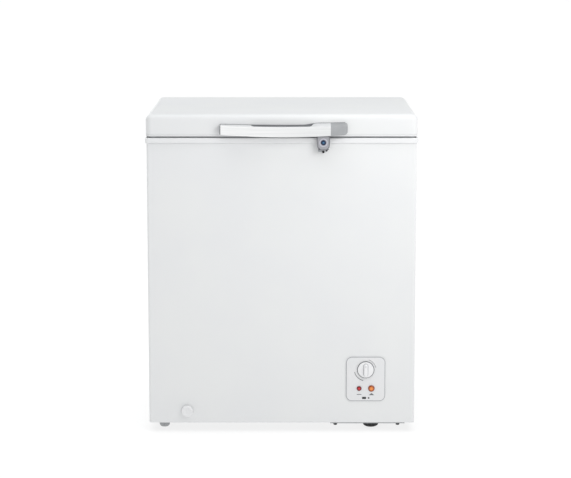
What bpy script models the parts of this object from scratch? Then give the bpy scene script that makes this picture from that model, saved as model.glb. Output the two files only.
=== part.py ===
"""Chest freezer, modelled piece by piece in metres, +Z up, front facing -Y."""
import math

import bmesh
import bpy
from mathutils import Vector

# ---- driving dimensions -------------------------------------------------------------------------
cabinet_width = 0.695
cabinet_depth = 0.499
wrap_height = 0.7376
foot_height = 0.0245
frame_height = 0.0126
seal_gap = 0.0066
lid_height = 0.0557
wall = 0.060
floor_wall = 0.060
wrap_bend = 0.006
machine_space_width = 0.2255
machine_space_height = 0.245

# how far the pieces above the cabinet stand past it
frame_lip = 0.0035
frame_rear_lip = 0.002
lid_side_overhang = 0.002
lid_front_overhang = 0.002
lid_rear_overhang = 0.007
handle_reach = 0.033

# sheet and skin thicknesses, and the gap that touching pieces keep
skin = 0.0008
panel_sheet = 0.001
liner_sheet = 0.0012
liner_corner = 0.018
hem_thickness = 0.0025
bracket_sheet = 0.0015
gap = 0.0003
running_gap = 0.0005

# hinge
hinge_pin_radius = 0.003
hinge_ear_radius = 0.009
hinge_offset = 0.009
hinge_drop = 0.0053
hinge_inset = 0.110
hinge_width = 0.044
hinge_bracket_height = 0.070

# handle and lock
handle_centre_x = 0.005
handle_length = 0.328
handle_end_length = 0.043
handle_drop = 0.025
handle_height = 0.027
handle_end_reach = 0.018
handle_bar = 0.0095
handle_face_sheet = 0.0012
finger_gap_width = 0.162
lock_x = 0.107
lock_width = 0.033
lock_height = 0.0387
lock_depth = 0.015
lock_barrel_radius = 0.0078
lock_axis_below_top = 0.071

# control panel on the front of the machine space: lamps are (distance from its middle, radius)
# and a lamp's stem is a share of its radius
panel_from_side = 0.128
panel_width = 0.102
panel_height = 0.118
panel_corner = 0.015
panel_above_base = 0.118
knob_above_base = 0.1431
knob_radius = 0.0225
knob_grip = (0.011, 0.032)
lamp_above_base = 0.0928
lamp_stem = 0.78
lamps = {"red_lamp": (-0.0170, 0.0065), "orange_lamp": (0.0151, 0.0086)}

# drain
drain_from_wall = 0.0396
drain_above_base = 0.032
drain_cap_radius = 0.015
drain_bore = 0.0080
drain_wall = 0.0020
drain_inlet_y = 0.110

# feet and base bolts
left_foot_from_side = 0.0365
left_foot_radius = 0.014
right_foot_from_side = 0.1115
right_foot_radius = 0.021
foot_inset = 0.060
foot_sole = 0.008
bolts_from_side = (0.2065, 0.0425)
bolt_inset = 0.0145
bolt_radius = 0.003
bolt_head = (0.0056, 0.0048)
base_plate_sheet = 0.002

# basket
basket_width = 0.200
basket_height = 0.176
basket_wire = 0.0032
basket_cells = (4, 7, 3)
ledge = 0.010

# refrigeration
evaporator_tube = 0.0035
evaporator_turns = 5
condenser_tube = 0.0024
condenser_passes = 4
condenser_bend = 0.006
pipe_radius = 0.003
compressor_radius = 0.072
compressor_height = 0.165
compressor_stretch = 1.22
hidden_wire_resolution = 1

# ---- positions worked out from them -------------------------------------------------------------
base_z = foot_height
frame_z = base_z + wrap_height
frame_top = frame_z + frame_height
lid_z = frame_top + seal_gap
lid_top = lid_z + lid_height
lid_width = cabinet_width + 2 * lid_side_overhang
lid_depth = cabinet_depth + lid_front_overhang + lid_rear_overhang
overall_depth = handle_reach + lid_depth + hinge_offset + hinge_ear_radius
lid_front = -overall_depth / 2 + handle_reach
lid_rear = lid_front + lid_depth
front = lid_front + lid_front_overhang
rear = front + cabinet_depth
side = cabinet_width / 2
middle = (front + rear) / 2
hinge_y = lid_rear + hinge_offset
hinge_z = lid_z - hinge_drop
inner_side = side - wall
inner_front = front + wall
inner_rear = rear - wall
liner_depth = inner_rear - inner_front
liner_floor = base_z + floor_wall
liner_top = frame_z - 0.003
machine_left = side - machine_space_width
machine_top = base_z + machine_space_height
step_x = machine_left - wall
step_z = machine_top + wall
panel_x = side - panel_from_side
panel_z = base_z + panel_above_base
knob_z = base_z + knob_above_base
lamp_z = base_z + lamp_above_base
drain_x = drain_from_wall - inner_side
left_foot_x = left_foot_from_side - side
right_foot_x = side - right_foot_from_side
bolt_xs = [side - distance for distance in bolts_from_side]
base_plate_top = base_z - 0.002
base_plate_z = base_plate_top - base_plate_sheet

PARTS = "chest_freezer"
CUTTERS = "cutters"


# ---- helpers ------------------------------------------------------------------------------------
def clear_scene():
    for item in list(bpy.data.objects):
        bpy.data.objects.remove(item, do_unlink=True)
    for name in (PARTS, CUTTERS):
        collection = bpy.data.collections.new(name)
        bpy.context.scene.collection.children.link(collection)


def material(name, colour, roughness, metallic=0.0):
    """A plain Principled material; made once and used by every piece that names it."""
    made = bpy.data.materials.get(name)
    if made:
        return made
    made = bpy.data.materials.new(name)
    made.use_nodes = True
    shader = made.node_tree.nodes["Principled BSDF"]
    shader.inputs["Base Color"].default_value = (*colour, 1.0)
    shader.inputs["Roughness"].default_value = roughness
    shader.inputs["Metallic"].default_value = metallic
    return made


def white_steel():
    return material("white_steel", (0.86, 0.87, 0.88), 0.35)


def white_plastic():
    return material("white_plastic", (0.84, 0.85, 0.86), 0.45)


def grey_plastic():
    return material("grey_plastic", (0.52, 0.53, 0.55), 0.5)


def zinc_steel():
    return material("zinc_steel", (0.55, 0.56, 0.57), 0.4, 0.9)


def black_rubber():
    return material("black_rubber", (0.03, 0.03, 0.032), 0.8)


def black_steel():
    return material("black_steel", (0.02, 0.02, 0.022), 0.45)


def copper():
    return material("copper", (0.72, 0.36, 0.2), 0.35, 1.0)


def foam():
    return material("foam", (0.75, 0.66, 0.42), 0.9)


def seal_rubber():
    return material("seal_rubber", (0.42, 0.43, 0.45), 0.7)


def add_object(name, mesh, finish, location=(0, 0, 0), rotation=(0, 0, 0)):
    made = bpy.data.objects.new(name, mesh)
    made.location = location
    made.rotation_euler = rotation
    if finish:
        mesh.materials.append(finish)
    bpy.data.collections[PARTS].objects.link(made)
    return made


def mesh_from(bm, name):
    mesh = bpy.data.meshes.new(name)
    bm.to_mesh(mesh)
    bm.free()
    return mesh


def box(name, low, high, finish, bevel=0.0, segments=2):
    """A box between two corners, its edges rounded when a bevel is given."""
    size = Vector(high) - Vector(low)
    bm = bmesh.new()
    bmesh.ops.create_cube(bm, size=1.0)
    bmesh.ops.scale(bm, vec=size, verts=bm.verts)
    made = add_object(name, mesh_from(bm, name), finish, (Vector(high) + Vector(low)) / 2)
    if bevel:
        round_edges(made, bevel, segments)
    return made


def round_edges(made, width, segments=2):
    rounding = made.modifiers.new("edges", "BEVEL")
    rounding.width = width
    rounding.segments = segments
    rounding.limit_method = "ANGLE"
    rounding.angle_limit = math.radians(40)
    return rounding


def smooth(made, angle=35):
    made.data.shade_smooth()
    made.data.set_sharp_from_angle(angle=math.radians(angle))


# Turns a shape that stands along +Z so that its top faces the named direction.
FACING = {
    "+Z": (0, 0, 0),
    "-Y": (math.pi / 2, 0, 0),
    "+Y": (-math.pi / 2, 0, 0),
    "+X": (0, math.pi / 2, 0),
}


def cylinder(name, radius, length, location, finish, facing="+Z", sides=24):
    """A cylinder whose foot is at location and whose top faces the given way."""
    bm = bmesh.new()
    bmesh.ops.create_cone(bm, cap_ends=True, segments=sides, radius1=radius, radius2=radius,
                          depth=length)
    bmesh.ops.translate(bm, vec=(0, 0, length / 2), verts=bm.verts)
    made = add_object(name, mesh_from(bm, name), finish, location, FACING[facing])
    smooth(made)
    return made


def turned(name, profile, location, finish, facing="+Z", steps=28):
    """A turned shape: (radius, height) points down its outer side, top to bottom."""
    mesh = bpy.data.meshes.new(name)
    points = [(radius, 0, height) for radius, height in profile]
    closed = profile[0][0] > 0
    edges = [(i, i + 1) for i in range(len(points) - 1)]
    if closed:
        edges.append((len(points) - 1, 0))
    mesh.from_pydata(points, edges, [])
    made = add_object(name, mesh, finish, location, FACING[facing])
    screw = made.modifiers.new("turn", "SCREW")
    screw.steps = steps
    screw.render_steps = steps
    screw.use_merge_vertices = True
    screw.merge_threshold = 0.00005
    screw.use_smooth_shade = True
    return made


def outline_curve(name, outlines, thickness):
    curve = bpy.data.curves.new(name, "CURVE")
    curve.dimensions = "2D"
    curve.fill_mode = "BOTH"
    curve.extrude = thickness / 2
    for outline in outlines:
        spline = curve.splines.new("POLY")
        spline.points.add(len(outline) - 1)
        for point, (x, y) in zip(spline.points, outline):
            point.co = (x, y, 0, 1)
        spline.use_cyclic_u = True
    return curve


def plate(name, outlines, thickness, location, finish, facing="+Z"):
    """A flat piece cut to an outline, later outlines being its holes, centred on location."""
    guide = add_object(name + "_outline", outline_curve(name, outlines, thickness), None,
                       location, FACING[facing])
    bpy.context.view_layer.update()
    evaluated = guide.evaluated_get(bpy.context.evaluated_depsgraph_get())
    mesh = bpy.data.meshes.new_from_object(evaluated)
    bm = bmesh.new()
    bm.from_mesh(mesh)
    bmesh.ops.remove_doubles(bm, verts=bm.verts, dist=0.00002)
    bmesh.ops.recalc_face_normals(bm, faces=bm.faces)
    bm.to_mesh(mesh)
    bm.free()
    mesh.materials.clear()
    made = add_object(name, mesh, finish)
    made.matrix_world = guide.matrix_world
    bpy.data.objects.remove(guide, do_unlink=True)
    return made


def wire(name, points, radius, finish, resolution=2):
    """A round tube through the points, with closed ends."""
    curve = bpy.data.curves.new(name, "CURVE")
    curve.dimensions = "3D"
    curve.bevel_depth = radius
    curve.bevel_resolution = resolution
    curve.use_fill_caps = True
    spline = curve.splines.new("POLY")
    spline.points.add(len(points) - 1)
    for point, place in zip(spline.points, points):
        point.co = (*place, 1)
    return add_object(name, curve, finish)


def as_mesh(made):
    """The same piece as a mesh, so that it can be cut or can cut."""
    bpy.context.view_layer.update()
    evaluated = made.evaluated_get(bpy.context.evaluated_depsgraph_get())
    mesh = bpy.data.meshes.new_from_object(evaluated)
    bm = bmesh.new()
    bm.from_mesh(mesh)
    bmesh.ops.remove_doubles(bm, verts=bm.verts, dist=0.00002)
    bmesh.ops.recalc_face_normals(bm, faces=bm.faces)
    bm.to_mesh(mesh)
    bm.free()
    name, matrix = made.name, made.matrix_world.copy()
    bpy.data.objects.remove(made, do_unlink=True)
    replaced = add_object(name, mesh, None)
    replaced.matrix_world = matrix
    return replaced


def hide_cutter(cutter):
    bpy.data.collections[PARTS].objects.unlink(cutter)
    bpy.data.collections[CUTTERS].objects.link(cutter)
    cutter.hide_render = True
    cutter.display_type = "WIRE"


def combine(made, other, operation="DIFFERENCE"):
    """Cuts the other piece away from this one, or joins it to this one."""
    hide_cutter(other)
    joining = made.modifiers.new(operation.lower(), "BOOLEAN")
    joining.operation = operation
    joining.solver = "EXACT"
    joining.object = other


def arc(centre, radius, start, end, steps):
    """Points along an arc, angles in degrees."""
    points = []
    for i in range(steps + 1):
        angle = math.radians(start + (end - start) * i / steps)
        points.append((centre[0] + radius * math.cos(angle), centre[1] + radius * math.sin(angle)))
    return points


def rounded_rectangle(width, height, radius, steps=4, centre=(0, 0)):
    half_x, half_y = width / 2 - radius, height / 2 - radius
    points = []
    for quarter, (sx, sy) in enumerate(((1, 1), (-1, 1), (-1, -1), (1, -1))):
        corner = (centre[0] + sx * half_x, centre[1] + sy * half_y)
        points += arc(corner, radius, 90 * quarter, 90 * (quarter + 1), steps)
    return points


def tube_bend(corners, radius, steps=4):
    """A route through corner points whose bends are rounded."""
    route = [Vector(corners[0])]
    for before, corner, after in zip(corners, corners[1:], corners[2:]):
        corner = Vector(corner)
        arriving = (Vector(before) - corner).normalized()
        leaving = (Vector(after) - corner).normalized()
        for i in range(steps + 1):
            t = i / steps
            start = corner + arriving * radius
            end = corner + leaving * radius
            route.append(start * (1 - t) ** 2 + corner * 2 * t * (1 - t) + end * t ** 2)
    route.append(Vector(corners[-1]))
    return route


# ---- cabinet ------------------------------------------------------------------------------------
def cabinet_wrap():
    """One steel sheet bent around the front and both sides, open at the back."""
    radius = wrap_bend
    outer = [(-side, rear)] + arc((-side + radius, front + radius), radius, 180, 270, 4)
    outer += arc((side - radius, front + radius), radius, 270, 360, 4) + [(side, rear)]
    inner = [(side - skin, rear)]
    inner += arc((side - radius, front + radius), radius - skin, 360, 270, 4)
    inner += arc((-side + radius, front + radius), radius - skin, 270, 180, 4)
    inner += [(-side + skin, rear)]
    made = plate("cabinet_wrap", [outer + inner], wrap_height - gap,
                 (0, 0, base_z + (wrap_height - gap) / 2), white_steel())
    through = 0.02
    drain_z = base_z + drain_above_base
    holes = [("shaft_hole", panel_x, knob_z, 0.006)]
    holes.append(("drain_hole", drain_x, drain_z, drain_bore + drain_wall + gap))
    for name, (x, radius) in lamps.items():
        holes.append((name + "_hole", panel_x + x, lamp_z, radius))
    for name, x, z, radius in holes:
        combine(made, cylinder(name, radius, through, (x, front + through / 2, z), None, "-Y"))


def back_panel():
    """Flat steel back, cut away over the machine space."""
    inside = side - skin - gap
    low, high = base_z, frame_z - gap
    outline = [(-inside, low), (machine_left, low), (machine_left, machine_top),
               (inside, machine_top), (inside, high), (-inside, high)]
    plate("back_panel", [outline], panel_sheet, (0, rear - panel_sheet / 2, 0), white_steel(),
          "-Y")


def inside_outline():
    """Plan of what fits inside the bent wrap, its corners following the wrap's bends."""
    inside = side - skin - gap
    near, far = front + skin + gap, rear - panel_sheet - gap
    return rounded_rectangle(2 * inside, far - near, wrap_bend, 4, (0, (near + far) / 2))


def base_panel():
    """Steel floor of the cabinet, open over the base plate, whose two sides bolt up to it."""
    margin = 0.016
    near, far = front + skin + gap, rear - panel_sheet - gap
    left, right = bolt_xs[0] + margin, bolt_xs[1] - margin
    opening = rounded_rectangle(right - left, far - near - 2 * margin, 0.008, 3,
                                ((left + right) / 2, (near + far) / 2))
    bottom = plate("base_panel", [inside_outline(), opening], panel_sheet,
                   (0, 0, base_z + panel_sheet / 2), zinc_steel())
    bolt_holes(bottom, bolt_xs)


def bolt_ys():
    return (front + bolt_inset, rear - bolt_inset)


def bolt_holes(made, xs):
    for x in xs:
        for y in bolt_ys():
            combine(made, cylinder("bolt_hole", bolt_radius + gap, 0.02, (x, y, base_z - 0.01),
                                   None, sides=12))


def base_plate():
    """Pressed plate that hangs under the machine space and carries the compressor."""
    left, right = bolt_xs[0] - 0.014, bolt_xs[1] + 0.018
    made = box("compressor_base_plate", (left, front + 0.008, base_plate_z),
               (right, rear - 0.008, base_plate_top), zinc_steel(), 0.0006, 1)
    bolt_holes(made, bolt_xs)
    head_radius, head_height = bolt_head
    for column, x in zip(("left", "right"), bolt_xs):
        for row, y in zip(("front", "rear"), bolt_ys()):
            name = f"base_bolt_{row}_{column}"
            head = cylinder(name, head_radius, head_height, (x, y, base_plate_z - gap - head_height),
                            black_steel(), sides=6)
            length = base_z + panel_sheet + 0.005 - (base_plate_z - gap - head_height / 2)
            shank = cylinder(name + "_shank", bolt_radius - 0.0002, length,
                             (x, y, base_plate_z - gap - head_height / 2), None, sides=12)
            combine(head, shank, "UNION")


def foot_profile(radius, height, sole):
    """Down the side of a foot: straight first, then rounded in to its flat sole."""
    straight = height * 0.45
    profile = [(0, height), (radius, height)]
    for i in range(5):
        angle = math.radians(90 * i / 4)
        profile.append((sole + (radius - sole) * math.cos(angle),
                        straight * (1 - math.sin(angle))))
    return profile + [(0, 0)]


def feet():
    """Grey plastic feet on the left, fat rubber feet under the base plate on the right."""
    for row, y in (("front", front + foot_inset), ("rear", rear - foot_inset)):
        profile = foot_profile(left_foot_radius, base_z - gap, foot_sole)
        turned(f"foot_{row}_left", profile, (left_foot_x, y, 0), grey_plastic(), steps=24)
        profile = foot_profile(right_foot_radius, base_plate_z - gap, foot_sole)
        turned(f"foot_{row}_right", profile, (right_foot_x, y, 0), black_rubber(), steps=28)


def liner_profile(grow):
    """The food space seen from the front, with its step over the machine space."""
    low = liner_floor - grow
    return [(-inner_side - grow, low), (step_x + grow, low), (step_x + grow, step_z - grow),
            (inner_side + grow, step_z - grow), (inner_side + grow, liner_top),
            (-inner_side - grow, liner_top)]


def stepped_block(bm, profile, near, far):
    """A block of the profile, given as (x, z), running from near to far along Y."""
    face = bm.faces.new([bm.verts.new((x, near, z)) for x, z in profile])
    result = bmesh.ops.extrude_face_region(bm, geom=[face])
    moved = [item for item in result["geom"] if isinstance(item, bmesh.types.BMVert)]
    bmesh.ops.translate(bm, vec=(0, far - near, 0), verts=moved)
    bmesh.ops.recalc_face_normals(bm, faces=bm.faces)


def cabinet_liner():
    """Thin lacquered tank with rounded corners and a flange that turns out under the top frame."""
    bm = bmesh.new()
    stepped_block(bm, liner_profile(0), inner_front, inner_rear)
    top = max(bm.faces, key=lambda face: face.calc_center_median().z)
    bmesh.ops.delete(bm, geom=[top], context="FACES")
    inner = [edge for edge in bm.edges if len(edge.link_faces) == 2]
    bmesh.ops.bevel(bm, geom=inner, offset=liner_corner, segments=3, profile=0.5, affect="EDGES",
                    material=-1)
    rim = [edge for edge in bm.edges if len(edge.link_faces) == 1]
    result = bmesh.ops.extrude_edge_only(bm, edges=rim)
    moved = [item for item in result["geom"] if isinstance(item, bmesh.types.BMVert)]
    flange = ledge + 0.012
    for vert in moved:
        vert.co.x *= (inner_side + flange) / inner_side
        vert.co.y = middle + (vert.co.y - middle) * (liner_depth / 2 + flange) / (liner_depth / 2)
    bmesh.ops.recalc_face_normals(bm, faces=bm.faces)
    bm.normal_update()
    low = min(bm.faces, key=lambda face: face.calc_center_median().z)
    if low.normal.z > 0:
        bmesh.ops.reverse_faces(bm, faces=bm.faces)
    made = add_object("cabinet_liner", mesh_from(bm, "cabinet_liner"),
                      material("white_lacquer", (0.85, 0.86, 0.86), 0.4))
    shell = made.modifiers.new("sheet", "SOLIDIFY")
    shell.thickness = liner_sheet
    shell.offset = 1.0
    hole = cylinder("liner_drain_hole", drain_bore, 0.02,
                    (drain_x, inner_front + drain_inlet_y, liner_floor - 0.01), None, sides=24)
    combine(made, hole)
    smooth(made, 50)


def cabinet_foam():
    """Foam between wrap and liner, with room for both tube coils, the pipes and the drain."""
    inside = side - skin - gap
    low, high = base_z + panel_sheet + gap, liner_top - liner_sheet - gap
    body = plate("cabinet_foam", [inside_outline()], high - low, (0, 0, (low + high) / 2), foam())
    grow = liner_sheet + gap
    bm = bmesh.new()
    stepped_block(bm, liner_profile(grow)[:-2] + [(inner_side + grow, frame_top),
                                                  (-inner_side - grow, frame_top)],
                  inner_front - grow, inner_rear + grow)
    nose = [edge for edge in bm.edges if all(
        abs(vert.co.x - step_x - grow) + abs(vert.co.z - step_z + grow) < gap
        for vert in edge.verts)]
    bmesh.ops.bevel(bm, geom=nose, offset=liner_corner - grow, segments=3, profile=0.5,
                    affect="EDGES", material=-1)
    combine(body, add_object("food_space", mesh_from(bm, "food_space"), None))
    outside = 0.01
    combine(body, box("machine_space", (machine_left, front - outside, base_z - outside),
                      (side + outside, rear + outside, machine_top), None))
    band = 2 * evaporator_tube + 0.0012
    low, high = evaporator_band()
    reach = grow + band
    combine(body, box("evaporator_space", (-inner_side - reach, inner_front - reach, low),
                      (inner_side + reach, inner_rear + reach, high), None))
    low, high = condenser_band()
    reach = 2 * condenser_tube + 0.0012
    combine(body, box("condenser_space_left", (-inside - outside, front - outside, low),
                      (-inside + reach, rear - 0.03, high), None))
    combine(body, box("condenser_space_right", (inside - reach, front - outside, low),
                      (inside + outside, rear - 0.03, high), None))
    combine(body, box("condenser_space_front", (-inside - outside, front - outside, low),
                      (inside + outside, front + skin + gap + reach, high), None))
    low_corner, high_corner = pipe_chase()
    combine(body, box("pipe_space", low_corner, high_corner, None))
    combine(body, drain_route("drain_space", drain_bore + drain_wall + gap, 0.006))


def evaporator_band():
    return step_z + 0.030, frame_z - 0.062


def condenser_band():
    return step_z - 0.020, frame_z - 0.040


def pipe_chase():
    """Opening in the foam that lets the pipes climb from the machine space to both coils."""
    low = (inner_side - 0.010, rear - 0.120, machine_top - 0.002)
    high = (side + 0.010, rear - 0.065, evaporator_band()[0] + 0.020)
    return low, high


def drain_corners(extra):
    z = base_z + drain_above_base
    y = inner_front + drain_inlet_y
    return [(drain_x, front - extra, z), (drain_x, y, z),
            (drain_x, y, liner_floor - liner_sheet - gap + extra)]


def drain_route(name, radius, extra):
    return as_mesh(wire(name, tube_bend(drain_corners(extra), 0.016, 5), radius, None, 6))


def drain_tube():
    """Plastic elbow from the food space's floor to the front wall."""
    made = drain_route("drain_tube", drain_bore + drain_wall, 0.0)
    made.data.materials.append(white_plastic())
    combine(made, drain_route("drain_tube_bore", drain_bore, 0.006))


def frame_ring():
    """Plastic collar on the cabinet's top edge; the basket hangs on the ledge inside it."""
    width = cabinet_width + 2 * frame_lip
    near, far = front - frame_lip, rear + frame_rear_lip
    outer = rounded_rectangle(width, far - near, 0.008, 4, (0, (near + far) / 2))
    inner = rounded_rectangle(2 * (inner_side + ledge), liner_depth + 2 * ledge, 0.020, 4,
                              (0, middle))
    made = plate("top_frame", [outer, inner], frame_height, (0, 0, frame_z + frame_height / 2),
                 white_plastic())
    round_edges(made, 0.0028, 2)


# ---- refrigeration ------------------------------------------------------------------------------
def evaporator_coil():
    """Tube wound round the tank in a rising rectangle with round corners."""
    reach = liner_sheet + gap + evaporator_tube
    radius = 0.022
    low, high = evaporator_band()
    climb = high - low - 2 * evaporator_tube - 0.006
    ring = rounded_rectangle(2 * (inner_side + reach), liner_depth + 2 * reach, radius, 3,
                             (0, middle))
    count = len(ring) * evaporator_turns
    points = []
    for i in range(count):
        x, y = ring[i % len(ring)]
        points.append((x, y, low + evaporator_tube + 0.003 + climb * i / count))
    wire("evaporator_coil", points, evaporator_tube, copper(), hidden_wire_resolution)


def condenser_coil():
    """Tube that runs to and fro inside the side and front walls."""
    inset = skin + gap + condenser_tube
    low, high = condenser_band()
    step = (high - low - 0.030) / (condenser_passes - 1)
    end = rear - 0.050
    x = side - inset
    y = front + inset
    corners = []
    for i in range(condenser_passes):
        z = low + 0.015 + step * i
        run = [(x, end, z), (x, y, z), (-x, y, z), (-x, end, z)]
        corners += run if i % 2 == 0 else run[::-1]
    wire("condenser_coil", tube_bend(corners, condenser_bend, 2), condenser_tube, copper(),
         hidden_wire_resolution)


def compressor_place():
    return (sum(bolt_xs) / 2, rear - 0.125)


def compressor():
    """Sealed motor can on a foot plate with four rubber mounts, its electrics on one side."""
    x, y = compressor_place()
    plate_z = base_plate_top + 0.014
    plate_top = plate_z + 0.003
    foot_x, foot_y = 0.136, 0.200
    foot = box("compressor_foot_plate", (x - foot_x / 2, y - foot_y / 2, plate_z),
               (x + foot_x / 2, y + foot_y / 2, plate_top), black_steel(), 0.0008, 1)
    names = ("front_left", "front_right", "rear_left", "rear_right")
    places = [(sx, sy) for sy in (-1, 1) for sx in (-1, 1)]
    for name, (sx, sy) in zip(names, places):
        place = (x + sx * (foot_x / 2 - 0.014), y + sy * (foot_y / 2 - 0.014))
        waist = [(0.0105, 0.0134), (0.0085, 0.0100), (0.0085, 0.0036), (0.0105, 0.0)]
        turned("compressor_mount_" + name, [(0, 0.0134)] + waist + [(0, 0)],
               (*place, base_plate_top + gap), black_rubber(), steps=16)
        combine(foot, cylinder("mount_hole", 0.003, 0.02, (*place, plate_z - 0.01), None,
                               sides=10))
    radius = compressor_radius
    corner = 0.036
    low = plate_top + gap
    crown = low + compressor_height
    profile = [(0, crown + 0.006)]
    profile += arc((radius - corner, crown - corner), corner, 78, 0, 3)
    profile += arc((radius - corner, low + corner), corner, 0, -90, 3) + [(0, low)]
    shell = turned("compressor_shell", profile, (0, 0, 0), black_steel(), steps=24)
    mesh_turned = as_mesh(shell)
    bm = bmesh.new()
    bm.from_mesh(mesh_turned.data)
    bmesh.ops.scale(bm, vec=(1, compressor_stretch, 1), verts=bm.verts)
    bmesh.ops.translate(bm, vec=(x, y, 0), verts=bm.verts)
    bm.to_mesh(mesh_turned.data)
    bm.free()
    mesh_turned.data.materials.append(black_steel())
    can = mesh_turned.modifiers.new("can", "SOLIDIFY")
    can.thickness = 0.003
    can.offset = -1.0
    port_z = low + compressor_height * 0.5
    combine(mesh_turned, cylinder("terminal_port", 0.009, 0.03, (x - radius - 0.015, y, port_z),
                                  None, "+X", 16))
    smooth(mesh_turned, 50)
    motor = radius - 0.016
    cylinder("compressor_motor", motor, compressor_height - 0.040, (x, y, low + 0.016),
             material("motor_iron", (0.2, 0.2, 0.21), 0.6, 0.7), sides=28)
    box("relay_cover", (x - radius - 0.022, y - 0.032, port_z - 0.028),
        (x - radius - 0.0012, y + 0.032, port_z + 0.028), black_rubber(), 0.003, 2)


def pipes():
    """Filter dryer and the pipes between the compressor and the coils."""
    x, y = compressor_place()
    top = base_plate_top + 0.017 + gap + compressor_height
    low_corner, high_corner = pipe_chase()
    chase_y = low_corner[1] + 0.012
    climb = evaporator_band()[0]
    dryer_x, dryer_y = machine_left + 0.030, y - 0.170
    dryer_low = base_plate_top + 0.090
    dryer_height = 0.100
    profile = [(0, dryer_height), (0.003, dryer_height), (0.009, dryer_height - 0.012),
               (0.009, 0.012), (0.003, 0), (0, 0)]
    turned("filter_dryer", profile, (dryer_x, dryer_y, dryer_low), copper(), steps=20)
    suction_x = inner_side + liner_sheet + gap + evaporator_tube
    wire("suction_pipe", tube_bend([
        (x + 0.030, y + 0.020, top + 0.006), (x + 0.030, y + 0.020, machine_top - 0.020),
        (suction_x, chase_y, machine_top - 0.020), (suction_x, chase_y, climb)],
        0.012, 3), pipe_radius, copper())
    condenser_x = side - skin - gap - condenser_tube
    condenser_z = condenser_band()[0] + 0.015 - condenser_tube - pipe_radius - gap
    wire("discharge_pipe", tube_bend([
        (x - 0.020, y - 0.030, top + 0.006), (x - 0.020, y - 0.030, machine_top - 0.034),
        (condenser_x - 0.001, chase_y + 0.014, machine_top - 0.034),
        (condenser_x - 0.001, chase_y + 0.014, condenser_z)], 0.012, 3), pipe_radius * 0.8, copper())
    wire("capillary_pipe", tube_bend([
        (dryer_x, dryer_y, dryer_low + dryer_height + gap),
        (dryer_x, dryer_y, machine_top - 0.012),
        (suction_x + 0.012, chase_y + 0.030, machine_top - 0.012),
        (suction_x + 0.012, chase_y + 0.030, climb)], 0.010, 3), 0.0012, copper())


def machine_cover():
    """Louvred steel cover over the machine space at the back, with the cord's inlet bush."""
    left, right = machine_left + 0.004, side - skin - 0.004
    low, high = base_z + 0.004, machine_top + 0.012
    centre = ((left + right) / 2, (low + high) / 2)
    outline = rounded_rectangle(right - left, high - low, 0.006, 2, centre)
    slots = []
    count = 9
    for row in range(count):
        z = low + 0.060 + row * 0.018
        slots.append(rounded_rectangle(right - left - 0.050, 0.006, 0.0029, 2, (centre[0], z)))
    inlet = (left + 0.035, low + 0.028)
    slots.append(arc(inlet, 0.0082, 0, 340, 17))
    plate("machine_cover", [outline] + slots, panel_sheet, (0, rear + gap + panel_sheet / 2, 0),
          white_steel(), "-Y")
    half = 0.005
    profile = [(0.0115, half), (0.0115, panel_sheet / 2 + gap), (0.0078, panel_sheet / 2 + gap),
               (0.0078, -half), (0.0048, -half), (0.0048, half)]
    turned("cord_inlet", profile, (inlet[0], rear + gap + panel_sheet / 2, inlet[1]),
           black_rubber(), "+Y", steps=20)


# ---- controls -----------------------------------------------------------------------------------
def control_panel():
    """Shallow plastic bezel with its knob, thermostat and two lamps."""
    thickness = 0.0024
    holes = [arc((panel_x, knob_z - panel_z), 0.0045, 0, 337.5, 15)]
    for x, radius in lamps.values():
        place = (panel_x + x, lamp_z - panel_z)
        holes.append(arc(place, radius * lamp_stem + 2 * gap, 0, 337.5, 15))
    outline = rounded_rectangle(panel_width, panel_height, panel_corner, 5, (panel_x, 0))
    made = plate("control_panel", [outline] + holes, thickness,
                 (0, front - gap - thickness / 2, panel_z), white_plastic(), "-Y")
    round_edges(made, 0.0005, 1)
    face = front - gap - thickness
    for name, (x, radius) in lamps.items():
        colour = (0.55, 0.0, 0.01) if name.startswith("red") else (0.85, 0.2, 0.01)
        stem = radius * lamp_stem
        dome = [(0, gap + 0.0044)]
        for i in range(1, 4):
            angle = math.radians(90 - 25 * i)
            dome.append((radius * math.cos(angle), gap + 0.0012 + 0.0032 * math.sin(angle)))
        profile = dome + [(radius, gap), (stem, gap), (stem, -0.018), (0, -0.018)]
        turned(name, profile, (panel_x + x, face, lamp_z),
               material(name + "_lens", colour, 0.15), "-Y", steps=24)
    thermostat()
    thermostat_knob(face)


def thermostat():
    """Thermostat body behind the front sheet."""
    near = front + skin + 0.004
    box("thermostat", (panel_x - 0.022, near, knob_z - 0.020),
        (panel_x + 0.022, near + 0.028, knob_z + 0.020),
        material("thermostat_plastic", (0.78, 0.78, 0.74), 0.6), 0.0015, 2)


def thermostat_knob(face):
    """Round dial with a raised grip, turning about Y; its origin lies on its axis."""
    radius = knob_radius
    shaft = 0.0032
    depth = face - (front + skin + 0.0035)
    profile = [(0, 0.0050), (radius * 0.90, 0.0050), (radius, 0.0040), (radius, running_gap),
               (shaft, running_gap), (shaft, depth), (0, depth)]
    dial = turned("thermostat_knob", profile, (panel_x, face, knob_z),
                  material("knob_plastic", (0.82, 0.83, 0.84), 0.4), "-Y", steps=28)
    width, height = knob_grip
    grip = box("knob_grip", (panel_x - width / 2, face - 0.0160, knob_z - height / 2),
               (panel_x + width / 2, face - 0.0040, knob_z + height / 2), None, 0.003, 3)
    combine(dial, grip, "UNION")


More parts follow.
